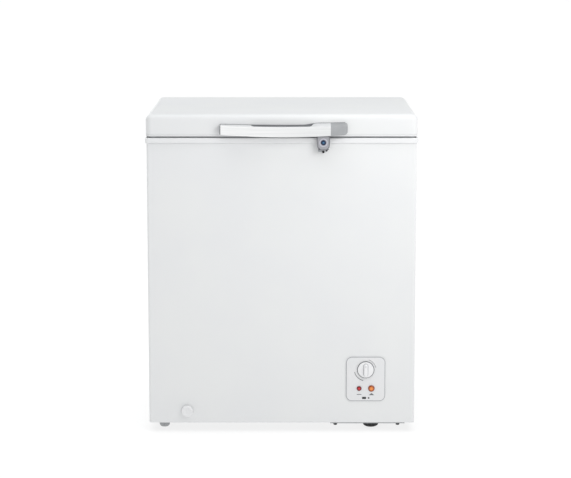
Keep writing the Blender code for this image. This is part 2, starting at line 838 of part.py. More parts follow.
def drain_outlet():
    """Pull-out spout with a turning dial on its end; both origins lie on the drain's axis."""
    z = base_z + drain_above_base
    bore = drain_bore - running_gap
    length = 0.045
    profile = [(bore, 0.0005), (bore, -length), (bore - 0.0015, -length), (bore - 0.0015, 0.0005)]
    turned("drain_spout", profile, (drain_x, front - 0.003, z), white_plastic(), "-Y", steps=24)
    rim = drain_cap_radius
    profile = [(0, 0.0062), (rim * 0.86, 0.0062), (rim, 0.0046), (rim, -0.0020),
               (rim - 0.0020, -0.0020), (rim - 0.0020, 0.0022), (0, 0.0022)]
    turned("drain_dial", profile, (drain_x, front - 0.003, z), white_plastic(), "-Y", steps=28)


def drain_plug():
    """Rubber stopper in the food space's floor, lifted out by its rim."""
    profile = [(0, 0.0060), (0.0105, 0.0060), (0.0125, 0.0045), (0.0125, gap),
               (drain_bore - 0.0004, gap), (drain_bore - 0.0012, -0.0060), (0, -0.0060)]
    turned("drain_plug", profile, (drain_x, inner_front + drain_inlet_y, liner_floor),
           seal_rubber(), steps=24)


# ---- basket -------------------------------------------------------------------------------------
def storage_basket():
    """Open-topped wire basket whose two long rails ride on the ledge at the tank's rim."""
    across, along, up = basket_cells
    right = inner_side - 0.024
    left = right - basket_width
    hang = liner_top + basket_wire / 2 + 0.0006
    half = liner_depth / 2 - 0.008
    low = hang - basket_height
    rail = liner_depth / 2 + ledge / 2
    bm = bmesh.new()
    bmesh.ops.create_cube(bm, size=1.0)
    bmesh.ops.scale(bm, vec=(basket_width, 2 * half, basket_height), verts=bm.verts)
    bmesh.ops.translate(bm, vec=((left + right) / 2, middle, (low + hang) / 2), verts=bm.verts)
    top = max(bm.faces, key=lambda face: face.calc_center_median().z)
    bmesh.ops.delete(bm, geom=[top], context="FACES")
    for vert in bm.verts:
        if vert.co.z < (low + hang) / 2:
            vert.co.x += 0.012 if vert.co.x < (left + right) / 2 else -0.012
            vert.co.y += 0.010 if vert.co.y < middle else -0.010
    for axis, count in (((1, 0, 0), across), ((0, 1, 0), along), ((0, 0, 1), up)):
        direction = Vector(axis)
        places = [vert.co.dot(direction) for vert in bm.verts]
        start, end = min(places), max(places)
        for i in range(1, count):
            spot = start + (end - start) * i / count
            bmesh.ops.bisect_plane(bm, geom=bm.verts[:] + bm.edges[:] + bm.faces[:],
                                   plane_co=direction * spot, plane_no=direction)
    rims = [edge for edge in bm.edges if len(edge.link_faces) == 1
            and abs(edge.verts[0].co.y - edge.verts[1].co.y) < 0.0001]
    result = bmesh.ops.extrude_edge_only(bm, edges=rims)
    moved = [item for item in result["geom"] if isinstance(item, bmesh.types.BMVert)]
    for vert in moved:
        vert.co.y = middle + (rail if vert.co.y > middle else -rail)
    made = add_object("storage_basket", mesh_from(bm, "storage_basket"),
                      material("coated_wire", (0.84, 0.85, 0.86), 0.35))
    wires = made.modifiers.new("wires", "WIREFRAME")
    wires.thickness = basket_wire
    wires.use_boundary = True
    wires.use_replace = True
    wires.use_even_offset = True


# ---- lid ----------------------------------------------------------------------------------------
def lid_panel():
    """Pressed steel lid skin, rounded at its top and corners, open below."""
    low = lid_z + hem_thickness + gap
    bm = bmesh.new()
    bmesh.ops.create_cube(bm, size=1.0)
    bmesh.ops.scale(bm, vec=(lid_width, lid_depth, lid_top - low), verts=bm.verts)
    bottom = min(bm.faces, key=lambda face: face.calc_center_median().z)
    bmesh.ops.delete(bm, geom=[bottom], context="FACES")
    edges = [edge for edge in bm.edges if len(edge.link_faces) == 2]
    bmesh.ops.bevel(bm, geom=edges, offset=0.016, segments=5, profile=0.5, affect="EDGES",
                    material=-1)
    made = add_object("lid_panel", mesh_from(bm, "lid_panel"), white_steel(),
                      (0, (lid_front + lid_rear) / 2, (low + lid_top) / 2))
    shell = made.modifiers.new("sheet", "SOLIDIFY")
    shell.thickness = skin
    shell.offset = -1.0
    smooth(made, 40)


def lid_liner():
    """Plastic inner lid: its edge shows as the hem, its middle stands down into the opening."""
    centre = (0, (lid_front + lid_rear) / 2, lid_z + hem_thickness / 2)
    outline = rounded_rectangle(lid_width, lid_depth, 0.0155, 4)
    made = plate("lid_liner", [outline], hem_thickness, centre, white_plastic())
    clear = 0.006
    drop = 0.0080
    pan = box("lid_pan", (-inner_side + clear, inner_front + clear, lid_z - drop),
              (inner_side - clear, inner_rear - clear, lid_z + hem_thickness / 2), None, 0.004, 2)
    combine(made, pan, "UNION")


def lid_foam():
    inset = skin + gap + 0.0003
    low = lid_z + hem_thickness + gap
    made = box("lid_foam", (-lid_width / 2 + inset, lid_front + inset, low),
               (lid_width / 2 - inset, lid_rear - inset, lid_top - inset), foam())
    bm = bmesh.new()
    bm.from_mesh(made.data)
    edges = []
    for edge in bm.edges:
        centre = (edge.verts[0].co + edge.verts[1].co) / 2
        if centre.z > -0.001:
            edges.append(edge)
    bmesh.ops.bevel(bm, geom=edges, offset=0.0165, segments=4, profile=0.5, affect="EDGES",
                    material=-1)
    bm.to_mesh(made.data)
    bm.free()


def lid_gasket():
    """Magnetic seal between the lid's liner and the top frame."""
    inset = 0.008
    width = 0.014
    near, far = lid_front + inset, rear - 0.004
    outer_width = lid_width - 2 * inset
    centre = (0, (near + far) / 2)
    outer = rounded_rectangle(outer_width, far - near, 0.010, 3, centre)
    inner = rounded_rectangle(outer_width - 2 * width, far - near - 2 * width, 0.004, 3, centre)
    plate("lid_gasket", [outer, inner], seal_gap - 2 * gap, (0, 0, frame_top + seal_gap / 2),
          seal_rubber())


def handle_front(x, inset=0.0):
    """Front of the bowed handle at x."""
    half = handle_length / 2
    along = (x - handle_centre_x) / half
    reach = handle_end_reach + (handle_reach - handle_end_reach) * (1 - along * along)
    return lid_front - reach + inset


def handle_arc(start, end, inset, steps=12):
    return [(start + (end - start) * i / steps, handle_front(start + (end - start) * i / steps,
                                                             inset)) for i in range(steps + 1)]


def handle():
    """Bowed plastic handle with a brushed strip on its front and a grey end that holds the lock."""
    left = handle_centre_x - handle_length / 2
    right = handle_centre_x + handle_length / 2
    seam = right - handle_end_length
    z = lid_top - handle_drop - handle_height / 2
    back = lid_front - gap
    inset = handle_face_sheet + gap
    grip_left = handle_centre_x - 0.004 - finger_gap_width / 2
    grip_right = grip_left + finger_gap_width
    outline = handle_arc(left, seam - gap, inset)
    outline += [(seam - gap, back), (grip_right, back)]
    outline += handle_arc(grip_right, grip_left, inset + handle_bar)
    outline += [(grip_left, back), (left, back)]
    body = plate("handle_body", [outline], handle_height, (0, 0, z),
                 material("handle_grey", (0.62, 0.63, 0.65), 0.5))
    round_edges(body, 0.0015, 2)
    strip = handle_arc(left, seam - gap, 0) + handle_arc(seam - gap, left, handle_face_sheet)
    plate("handle_strip", [strip], handle_height - 0.002, (0, 0, z),
          material("brushed_strip", (0.8, 0.81, 0.82), 0.35, 0.6))
    corner = 0.009
    tip = right - corner
    end = handle_arc(seam, tip, 0, 6)
    end += arc((tip, handle_front(tip) + corner), corner, -75, 0, 4)
    end += [(right, back), (seam, back)]
    made = plate("handle_end", [end], handle_height, (0, 0, z), grey_plastic())
    round_edges(made, 0.0015, 2)


def lock_centre():
    return lock_x, lid_top - lock_axis_below_top


def lock_rear():
    """Back plane of the lock, just clear of the top frame."""
    return front - frame_lip - 2 * running_gap


def lock_housing():
    """Rounded housing hung from the handle, open behind and below for the keeper."""
    half = lock_width / 2
    top = lid_top - handle_drop - handle_height - gap
    low = top - lock_height
    taper = low + 0.016
    outline = [(-half, top), (-half, taper)]
    outline += arc((-half + 0.013, low + 0.0125), 0.0125, 196, 270, 4)
    outline += arc((half - 0.013, low + 0.0125), 0.0125, 270, 344, 4)
    outline += [(half, taper), (half, top)]
    near = lock_rear() - lock_depth
    made = plate("lock_housing", [[(lock_x + x, z) for x, z in outline]], lock_depth,
                 (0, near + lock_depth / 2, 0), grey_plastic(), "-Y")
    shell = 0.0022
    x, z = lock_centre()
    combine(made, box("lock_space", (x - half + shell, near + 0.0025, low - 0.01),
                      (x + half - shell, lock_rear() + 0.01, top - 0.006), None))
    combine(made, cylinder("lock_bore", lock_barrel_radius + gap, 0.02, (x, near + 0.01, z), None,
                           "-Y", 28))


def lock_cylinder():
    """Key barrel in the housing, turning about Y, with its hooked cam behind it."""
    x, z = lock_centre()
    near = lock_rear() - lock_depth - 0.0012
    cam_depth = 0.0016
    cam_near = lock_rear() - 0.0062
    length = cam_near - gap - near
    radius = lock_barrel_radius
    barrel = cylinder("lock_cylinder", radius, length, (x, near + length, z),
                      material("lock_blue", (0.02, 0.09, 0.2), 0.3), "-Y", 28)
    combine(barrel, box("key_slot", (x - 0.0008, near - 0.001, z - 0.0042),
                        (x + 0.0008, near + 0.0060, z + 0.0042), None))
    hub = 0.0040
    arm, half, toe, toe_reach = 0.0110, 0.0020, 0.0030, 0.0085
    # rest: the arm points to +X and its toe points down
    outline = arc((0, 0), hub, 30, 330, 10)
    outline += [(arm - toe, -half), (arm - toe, -toe_reach), (arm, -toe_reach), (arm, half)]
    plate("lock_cam", [[(x + u, z + v) for u, v in outline]], cam_depth,
          (0, cam_near + cam_depth / 2, 0), zinc_steel(), "-Y")


def lock_keeper():
    """Steel catch on the cabinet: the locked cam's toe turns in under its shelf."""
    x, z = lock_centre()
    sheet = 0.0012
    shelf_z = z - 0.0070
    left, right = x - 0.0128, x - 0.0046
    top = min(shelf_z + sheet, frame_z - gap)
    made = box("lock_keeper", (left, front - gap - sheet, base_z + wrap_height - 0.022),
               (x + 0.008, front - gap, top), zinc_steel())
    shelf = box("keeper_shelf", (left, lock_rear() - 0.0060, shelf_z), (right, front - gap - 0.0004,
                                                                        top), None)
    combine(made, shelf, "UNION")


# ---- hinges -------------------------------------------------------------------------------------
def hinge(side_name, x):
    """Pin hinge: ears and spring on the cabinet's back, a rolled leaf on the lid's rear."""
    half = hinge_width / 2
    sheet = bracket_sheet
    low = frame_z - 0.004 - hinge_bracket_height
    high = frame_z - 0.004
    pin = (hinge_y, hinge_z)
    near = rear + gap
    flange = 0.005
    bracket = box("hinge_bracket_" + side_name, (x - half - flange, near, low - flange),
                  (x + half + flange, near + sheet, high + 0.001), zinc_steel())
    ear = [(near + 0.0002, low), (near + 0.010, low), (pin[0] + hinge_ear_radius, pin[1] - 0.014)]
    ear += arc(pin, hinge_ear_radius, 0, 180, 8)
    ear += [(rear + frame_rear_lip + 2 * running_gap, pin[1] - 0.006),
            (rear + frame_rear_lip + 2 * running_gap, high), (near + 0.0002, high)]
    for edge in (-1, 1):
        centre = x + edge * (half - sheet / 2)
        cheek = plate("hinge_ear", [ear], sheet, (0, 0, 0), None)
        turn_to_side(cheek, centre)
        combine(bracket, cheek, "UNION")
    combine(bracket, cylinder("pin_hole", hinge_pin_radius + 0.0002, hinge_width + 0.02,
                              (x - half - 0.01, *pin), None, "+X", 20))
    cylinder("hinge_pin_" + side_name, hinge_pin_radius, hinge_width + 0.004,
             (x - half - 0.002, *pin), zinc_steel(), "+X", 20)
    leaf = hinge_width * 0.42
    leaf_left = x - half + sheet + running_gap
    hinge_leaf("hinge_leaf_" + side_name, leaf_left, leaf, pin)
    hinge_spring("hinge_spring_" + side_name, leaf_left + leaf + 0.001,
                 x + half - sheet - 0.001, pin)


def turn_to_side(made, x):
    """Stands an outline drawn as (y, z) up in the plane at x."""
    bm = bmesh.new()
    bm.from_mesh(made.data)
    for vert in bm.verts:
        u, v, w = vert.co
        vert.co = (w, u, v)
    bm.to_mesh(made.data)
    bm.free()
    made.location.x = x


def hinge_leaf(name, left, width, pin):
    knuckle = 0.0052
    bore = hinge_pin_radius + 0.0003
    sheet = bracket_sheet
    near = lid_rear + gap
    roll = arc(pin, knuckle, 172, -150, 12)
    inner = arc(pin, bore, 0, 337.5, 15)
    foot_z = lid_z + 0.006
    outline = [(near, foot_z), (near + sheet, foot_z)] + roll
    made = plate(name, [outline, inner], width, (0, 0, 0), zinc_steel())
    turn_to_side(made, left + width / 2)
    upright = box(name + "_plate", (left, near, foot_z - 0.002),
                  (left + width, near + sheet, lid_top - 0.020), None)
    combine(made, upright, "UNION")


def hinge_spring(name, start, end, pin):
    """Torsion spring round the pin that carries most of the lid's weight."""
    radius = 0.0052
    turns = 4
    points = []
    around = 9
    steps = around * turns
    for i in range(steps + 1):
        angle = 2 * math.pi * i / around
        points.append((start + 0.0015 + (end - start - 0.003) * i / steps,
                       pin[0] + radius * math.cos(angle), pin[1] + radius * math.sin(angle)))
    wire(name, points, 0.0011, zinc_steel(), hidden_wire_resolution)


def build():
    clear_scene()
    cabinet_wrap()
    back_panel()
    base_panel()
    base_plate()
    feet()
    cabinet_liner()
    cabinet_foam()
    drain_tube()
    frame_ring()
    evaporator_coil()
    condenser_coil()
    compressor()
    pipes()
    machine_cover()
    control_panel()
    drain_outlet()
    drain_plug()
    storage_basket()
    lid_panel()
    lid_liner()
    lid_foam()
    lid_gasket()
    handle()
    lock_housing()
    lock_cylinder()
    lock_keeper()
    hinge_x = side - hinge_inset
    hinge("left", -hinge_x)
    hinge("right", hinge_x)


build()
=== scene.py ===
import math

import bmesh
import bpy
from mathutils import Matrix, Vector


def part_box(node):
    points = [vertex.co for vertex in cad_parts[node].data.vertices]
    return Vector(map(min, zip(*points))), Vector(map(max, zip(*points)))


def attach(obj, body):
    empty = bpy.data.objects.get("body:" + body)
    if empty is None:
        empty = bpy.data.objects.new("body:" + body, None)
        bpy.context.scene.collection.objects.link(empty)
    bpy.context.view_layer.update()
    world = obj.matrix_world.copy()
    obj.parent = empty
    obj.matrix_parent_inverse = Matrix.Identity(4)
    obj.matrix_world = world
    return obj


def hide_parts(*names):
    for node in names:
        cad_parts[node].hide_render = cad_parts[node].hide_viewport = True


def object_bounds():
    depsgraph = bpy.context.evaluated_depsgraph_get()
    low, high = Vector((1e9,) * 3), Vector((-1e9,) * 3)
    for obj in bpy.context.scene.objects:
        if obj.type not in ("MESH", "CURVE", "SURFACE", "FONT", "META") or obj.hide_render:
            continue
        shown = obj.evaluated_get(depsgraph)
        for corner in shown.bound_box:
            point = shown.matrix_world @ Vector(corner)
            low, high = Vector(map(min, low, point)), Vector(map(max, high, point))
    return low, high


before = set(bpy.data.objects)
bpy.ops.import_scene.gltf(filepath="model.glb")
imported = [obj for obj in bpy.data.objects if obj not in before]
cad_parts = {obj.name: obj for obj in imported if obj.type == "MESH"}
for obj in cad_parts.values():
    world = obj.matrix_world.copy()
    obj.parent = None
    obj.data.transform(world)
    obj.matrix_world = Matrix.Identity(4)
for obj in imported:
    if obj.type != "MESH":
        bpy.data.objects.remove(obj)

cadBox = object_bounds()
mm = 0.001
print("frame loaded:", len(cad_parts), "nodes")


def hexColour(code):
    # sRGB hex to the linear values that shaders take
    parts = [int(code[i:i + 2], 16) / 255 for i in (1, 3, 5)]
    linear = [p / 12.92 if p <= 0.04045 else ((p + 0.055) / 1.055) ** 2.4 for p in parts]
    return (*linear, 1.0)


def perMm(size):
    # texture scale whose cells are this many millimetres wide on Object coordinates
    return 1000.0 / size


def addNode(tree, kind, settings=None, links=()):
    node = tree.nodes.new(kind)
    for key, value in (settings or {}).items():
        if key in node.inputs:
            node.inputs[key].default_value = value
        else:
            setattr(node, key, value)
    for source, target in links:
        tree.links.new(source, node.inputs[target])
    return node


def newFinish(name, colour, roughness, metallic=0.0, **more):
    finish = bpy.data.materials.new(name)
    finish.use_nodes = True
    tree = finish.node_tree
    shader = tree.nodes["Principled BSDF"]
    shader.inputs["Base Color"].default_value = hexColour(colour)
    shader.inputs["Roughness"].default_value = roughness
    shader.inputs["Metallic"].default_value = metallic
    for socket, value in more.items():
        shader.inputs[socket.replace("_", " ")].default_value = value
    place = addNode(tree, "ShaderNodeTexCoord")
    return finish, tree, shader, place.outputs["Object"]


def toneRamp(tree, source, levels, colours):
    ramp = addNode(tree, "ShaderNodeValToRGB", links=[(source, "Fac")])
    for stop, level, colour in zip(ramp.color_ramp.elements, levels, colours):
        stop.position = level
        stop.color = hexColour(colour)
    return ramp


def mottle(tree, shader, place, first, second, size, low=0.35, high=0.65):
    # slow drift between two near colours
    cloud = addNode(tree, "ShaderNodeTexNoise", {"Scale": perMm(size), "Detail": 3.0},
                    [(place, "Vector")])
    ramp = toneRamp(tree, cloud.outputs["Fac"], (low, high), (first, second))
    tree.links.new(ramp.outputs["Color"], shader.inputs["Base Color"])
    return cloud


def bumpFrom(tree, shader, height, strength, depth):
    bump = addNode(tree, "ShaderNodeBump", {"Strength": strength, "Distance": depth},
                   [(height, "Height")])
    tree.links.new(bump.outputs["Normal"], shader.inputs["Normal"])
    return bump


def roughFrom(tree, shader, source, low, high):
    spread = addNode(tree, "ShaderNodeMapRange", {"To Min": low, "To Max": high},
                     [(source, "Value")])
    tree.links.new(spread.outputs["Result"], shader.inputs["Roughness"])


def paintedSteel():
    # Powder-coated sheet steel: even cool white, a faint orange peel softens what it mirrors.
    finish, tree, shader, place = newFinish("paintedSteel", "#e4e5e6", 0.45, Specular_IOR_Level=0.3)
    mottle(tree, shader, place, "#e3e4e5", "#e5e6e6", 160)
    peel = addNode(tree, "ShaderNodeTexNoise", {"Scale": perMm(2.2), "Detail": 1.0},
                   [(place, "Vector")])
    bumpFrom(tree, shader, peel.outputs["Fac"], 0.12, 0.05 * mm)
    return finish


def stuccoAluminium():
    # Lacquered aluminium sheet rolled with a stucco emboss, so the tank glitters softly.
    finish, tree, shader, place = newFinish("stuccoAluminium", "#e9ecee", 0.3, 0.15)
    dents = addNode(tree, "ShaderNodeTexVoronoi", {"Scale": perMm(5.0)}, [(place, "Vector")])
    dents.feature = "SMOOTH_F1"
    mottle(tree, shader, place, "#e6e9eb", "#eef0f1", 90)
    bumpFrom(tree, shader, dents.outputs["Distance"], 0.5, 0.5 * mm)
    return finish


def mouldedPlastic(name, colour, shade, roughness):
    # Moulded plastic: flat body colour with the fine spark texture of the mould.
    finish, tree, shader, place = newFinish(name, colour, roughness)
    mottle(tree, shader, place, colour, shade, 60)
    spark = addNode(tree, "ShaderNodeTexNoise", {"Scale": perMm(0.9), "Detail": 2.0},
                    [(place, "Vector")])
    bumpFrom(tree, shader, spark.outputs["Fac"], 0.12, 0.06 * mm)
    roughFrom(tree, shader, spark.outputs["Fac"], roughness - 0.06, roughness + 0.06)
    return finish


def brushedStrip():
    # Brushed foil with long lines 0.7 mm apart, coloured near white at the left end and silver at
    # the right as painted shade of the bowed face.
    finish, tree, shader, place = newFinish("brushedStrip", "#eff0f0", 0.36, 0.2)
    along = addNode(tree, "ShaderNodeMapping", {"Scale": (6.0, 60.0, 1400.0)},
                    [(place, "Vector")])
    lines = addNode(tree, "ShaderNodeTexNoise", {"Scale": 1.0, "Detail": 3.0},
                    [(along.outputs["Vector"], "Vector")])
    split = addNode(tree, "ShaderNodeSeparateXYZ", links=[(place, "Vector")])
    # painted shade: the strip's colour darkens from left to right along its length
    paintedShadeFade = addNode(tree, "ShaderNodeMapRange", {"From Min": -0.16, "From Max": 0.13},
                   [(split.outputs["X"], "Value")])
    tones = [toneRamp(tree, lines.outputs["Fac"], (0.3, 0.62), pair)
             for pair in (("#e9eaea", "#fbfbfb"), ("#cdcecf", "#e2e3e3"))]
    mix = addNode(tree, "ShaderNodeMix", {"data_type": "RGBA"},
                  [(paintedShadeFade.outputs["Result"], "Factor")])
    tree.links.new(tones[0].outputs["Color"], mix.inputs[6])
    tree.links.new(tones[1].outputs["Color"], mix.inputs[7])
    tree.links.new(mix.outputs[2], shader.inputs["Base Color"])
    bumpFrom(tree, shader, lines.outputs["Fac"], 0.15, 0.04 * mm)
    return finish


def zincPlate():
    # Bright zinc plating on pressed steel: grey metal with a cloudy spangle.
    finish, tree, shader, place = newFinish("zincPlate", "#a9acae", 0.38, 0.9)
    spangle = addNode(tree, "ShaderNodeTexVoronoi", {"Scale": perMm(6.0)}, [(place, "Vector")])
    mottle(tree, shader, place, "#9b9fa2", "#b9bcbe", 14)
    roughFrom(tree, shader, spangle.outputs["Distance"], 0.3, 0.5)
    return finish


def cloudyFinish(name, colour, roughness, metallic, tones, size, dents=None, gloss=None):
    # drifts between two near tones; the same cloud may dent the surface or change its gloss
    finish, tree, shader, place = newFinish(name, colour, roughness, metallic)
    cloud = mottle(tree, shader, place, *tones, size)
    if dents:
        bumpFrom(tree, shader, cloud.outputs["Fac"], *dents)
    if gloss:
        roughFrom(tree, shader, cloud.outputs["Fac"], *gloss)
    return finish


def blackRubber():
    # Moulded nitrile rubber: near black, dull, with a dusty bloom.
    return cloudyFinish("blackRubber", "#1b1b1c", 0.75, 0.0, ("#161617", "#2a2a2b"), 7,
                        (0.15, 0.1 * mm))


def blackEnamel():
    # Stoved black enamel on the compressor can: deep and slightly runny.
    return cloudyFinish("blackEnamel", "#111214", 0.3, 0.0, ("#0e0f11", "#191a1d"), 25,
                        (0.1, 0.2 * mm))


def castIron():
    # Sand-cast iron: dark grey with a coarse skin.
    return cloudyFinish("castIron", "#3b3c3e", 0.65, 0.7, ("#333436", "#47484a"), 5,
                        (0.4, 0.3 * mm))


def copperTube():
    # Drawn copper tube, dulled and blotched brown by handling.
    return cloudyFinish("copperTube", "#b8693f", 0.35, 1.0, ("#9a5532", "#c87c50"), 18,
                        gloss=(0.28, 0.48))


def rigidFoam():
    # Poured polyurethane foam: straw yellow, matt and finely pitted.
    return cloudyFinish("rigidFoam", "#d8c894", 0.9, 0.0, ("#cdbb82", "#e2d4a4"), 3,
                        (0.5, 0.4 * mm))


def sealVinyl():
    # Soft magnetic vinyl seal: mid grey, satin, a little dirty in its folds.
    return cloudyFinish("sealVinyl", "#a9abae", 0.55, 0.0, ("#a1a3a6", "#b1b3b6"), 22,
                        (0.08, 0.1 * mm))


def springSteel():
    # Oiled spring wire: dark bright steel.
    return cloudyFinish("springSteel", "#6f7276", 0.3, 1.0, ("#65686c", "#7d8084"), 4)


def coatedWire():
    # Steel wire dipped in white nylon: glossy with small thick and thin places.
    return cloudyFinish("coatedWire", "#f2f3f4", 0.25, 0.0, ("#eef0f1", "#f6f7f7"), 12,
                        (0.1, 0.1 * mm))


def lensPaintedGlow(name, core, edge, centre, radius):
    # Clear coloured acrylic over a neon lamp, painted bright in the middle as glow and dark towards
    # the rim as shade.
    finish, tree, shader, place = newFinish(name, core, 0.12, Coat_Weight=0.6)
    flat = addNode(tree, "ShaderNodeVectorMath", {"operation": "MULTIPLY"}, [(place, 0)])
    flat.inputs[1].default_value = (1, 0, 1)
    away = addNode(tree, "ShaderNodeVectorMath", {"operation": "DISTANCE"},
                   [(flat.outputs["Vector"], 0)])
    away.inputs[1].default_value = (centre.x, 0, centre.z)
    spread = addNode(tree, "ShaderNodeMapRange", {"From Max": radius},
                     [(away.outputs["Value"], "Value")])
    # painted glow at the middle fading to painted shade at the rim
    ramp = toneRamp(tree, spread.outputs["Result"], (0.15, 0.8), (core, edge))
    tree.links.new(ramp.outputs["Color"], shader.inputs["Base Color"])
    return finish


def printInk(name, colour):
    # Screen-printed ink, a touch uneven.
    finish, tree, shader, place = newFinish(name, colour, 0.5)
    specks = addNode(tree, "ShaderNodeTexNoise", {"Scale": perMm(0.8)}, [(place, "Vector")])
    roughFrom(tree, shader, specks.outputs["Fac"], 0.42, 0.58)
    return finish


# moulded plastics: body colour, second tone and roughness
plasticLook = {
    "absWhite": ("#e3e4e5", "#e6e6e7", 0.42),  # top frame, lid liner and drain
    "absPanel": ("#dfe0e1", "#e2e2e3", 0.4),  # control plate, a shade greyer
    "absKnob": ("#e9e9ea", "#ededee", 0.38),  # thermostat dial, whiter and smoother
    "absSilver": ("#d3d4d6", "#d9dadb", 0.4),  # handle body and basket grips
    "absGrey": ("#9b9d9f", "#a3a5a7", 0.42),  # handle's end cap
    "paintedShadeAbs": ("#77797c", "#7f8184", 0.45),  # painted shade: dark grey for the handle's backing plate and left trim, where the recess and the gaps lie in shade
    "absLock": ("#77777c", "#7f7f84", 0.42),  # lock housing
    "absLockFace": ("#9b9ba0", "#a2a2a7", 0.42),  # plate in the lock housing
    "absLilac": ("#b9b8c2", "#c0bfc8", 0.42),  # ring round the key barrel
    "absCream": ("#d9d8d0", "#e0dfd8", 0.5),  # thermostat box
    "nylonFoot": ("#9b9da0", "#a8aaac", 0.5),  # left feet
    "navyAbs": ("#061a38", "#0a2348", 0.3),  # key barrel
    "blueAbs": ("#3b7fb0", "#4a90c0", 0.3),  # core of the key barrel
}
finishes = {
    "steel": paintedSteel(), "stucco": stuccoAluminium(), "strip": brushedStrip(),
    "zinc": zincPlate(), "rubber": blackRubber(), "enamel": blackEnamel(), "iron": castIron(),
    "copper": copperTube(), "foam": rigidFoam(), "seal": sealVinyl(), "spring": springSteel(),
    # this grey ink serves the printed marks and the painted shade ring round the dial
    "coatedWire": coatedWire(), "greyInkAndPaintedShade": printInk("greyInkAndPaintedShade", "#707275"),
    # the pale ink is painted shade: the line round the control plate and the bed round the dial's
    # grip
    "darkInk": printInk("darkInk", "#2b2c2e"), "paintedShadeInk": printInk("paintedShadeInk", "#a2a4a7"),
    **{name: mouldedPlastic(name, *look) for name, look in plasticLook.items()},
}
print("finishes made:", len(finishes))


facings = {"+Z": Matrix.Identity(4), "-Y": Matrix.Rotation(math.pi / 2, 4, "X"),
           "+Y": Matrix.Rotation(-math.pi / 2, 4, "X")}


def blockShape(low, high):
    low, high = Vector(low), Vector(high)
    bm = bmesh.new()
    bmesh.ops.create_cube(bm, size=1.0)
    bmesh.ops.scale(bm, vec=high - low, verts=bm.verts)
    bmesh.ops.translate(bm, vec=(low + high) / 2, verts=bm.verts)
    return bm


def roundEdges(bm, edges, width, segments):
    bmesh.ops.bevel(bm, geom=list(edges), offset=width, segments=segments, profile=0.5,
                    affect="EDGES", material=-1, clamp_overlap=True)


def sharpEdges(bm, angle=30):
    bm.normal_update()
    limit = math.radians(angle)
    return [e for e in bm.edges if len(e.link_faces) == 2 and e.calc_face_angle(0) > limit]


def rimEdges(bm):
    return [e for e in bm.edges if len(e.link_faces) == 1]


def movedVerts(result):
    return [item for item in result["geom"] if isinstance(item, bmesh.types.BMVert)]


def arcPoints(centre, radius, start, end, steps):
    turn = [math.radians(start + (end - start) * i / steps) for i in range(steps + 1)]
    return [(centre[0] + radius * math.cos(a), centre[1] + radius * math.sin(a)) for a in turn]


def roundedOutline(low, high, radius, inset=0.0, steps=8):
    # plan of a box with round corners, drawn in by inset
    radius = max(radius - inset, 0.4 * mm)
    x0, y0, x1, y1 = low[0] + inset, low[1] + inset, high[0] - inset, high[1] - inset
    corners = ((x1 - radius, y1 - radius), (x0 + radius, y1 - radius),
               (x0 + radius, y0 + radius), (x1 - radius, y0 + radius))
    points = []
    for quarter, corner in enumerate(corners):
        points += arcPoints(corner, radius, 90 * quarter, 90 * quarter + 90, steps)
    return points


def slotOutline(x, z, width, height, corner, steps=8):
    # rounded rectangle about a middle point
    return roundedOutline((x - width / 2, z - height / 2), (x + width / 2, z + height / 2),
                          corner, 0, steps)


def middleOf(node):
    # middle of a piece's box and half its width, the radius of a round piece
    low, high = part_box(node)
    return (low + high) / 2, (high.x - low.x) / 2


def placeShape(bm, facing, origin):
    bmesh.ops.transform(bm, matrix=Matrix.Translation(origin) @ facings[facing], verts=bm.verts)


def prismShape(points, depth, facing="-Y", origin=(0, 0, 0)):
    # a face of (across, up) points at the origin's plane, pulled out by depth towards the facing
    bm = bmesh.new()
    face = bm.faces.new([bm.verts.new((u, v, 0)) for u, v in points])
    moved = movedVerts(bmesh.ops.extrude_face_region(bm, geom=[face]))
    bmesh.ops.translate(bm, vec=(0, 0, depth), verts=moved)
    placeShape(bm, facing, origin)
    bmesh.ops.recalc_face_normals(bm, faces=bm.faces)
    return bm


def spunShape(profile, origin, facing="+Z", steps=48):
    # (radius, height) points turned once round the facing direction
    bm = bmesh.new()
    verts = [bm.verts.new((radius, 0, height)) for radius, height in profile]
    edges = [bm.edges.new(pair) for pair in zip(verts, verts[1:])]
    if profile[0][0] > 0 and profile[-1][0] > 0:
        edges.append(bm.edges.new((verts[-1], verts[0])))
    bmesh.ops.spin(bm, geom=verts + edges, angle=2 * math.pi, steps=steps, axis=(0, 0, 1),
                   cent=(0, 0, 0), use_merge=True)
    bmesh.ops.remove_doubles(bm, verts=bm.verts, dist=0.005 * mm)
    placeShape(bm, facing, origin)
    bmesh.ops.recalc_face_normals(bm, faces=bm.faces)
    return bm


def stackLoops(loops, capFirst=False, capLast=False, joined=False):
    # skins from loop to loop of equal point counts; joined brings the last back to the first
    bm = bmesh.new()
    rows = [[bm.verts.new(point) for point in loop] for loop in loops]
    if joined:
        rows.append(rows[0])
    for near, far in zip(rows, rows[1:]):
        for i in range(len(near)):
            j = (i + 1) % len(near)
            bm.faces.new((near[i], near[j], far[j], far[i]))
    if capFirst:
        bm.faces.new(rows[0][::-1])
    if capLast:
        bm.faces.new(rows[-1])
    bmesh.ops.remove_doubles(bm, verts=bm.verts, dist=0.003 * mm)
    bmesh.ops.recalc_face_normals(bm, faces=bm.faces)
    return bm


def ringShape(profile, outlineAt):
    # sweeps (inset, height) profile points round an outline and closes on itself
    return stackLoops([[(x, y, height) for x, y in outlineAt(inset)]
                       for inset, height in profile], joined=True)


def loftShape(sections):
    # a closed bar through sections of equal point counts
    return stackLoops(sections, True, True)


def mergeShapes(shapes):
    bm = bmesh.new()
    for shape in shapes:
        mesh = bpy.data.meshes.new("part")
        shape.to_mesh(mesh)
        shape.free()
        bm.from_mesh(mesh)
        bpy.data.meshes.remove(mesh)
    return bm


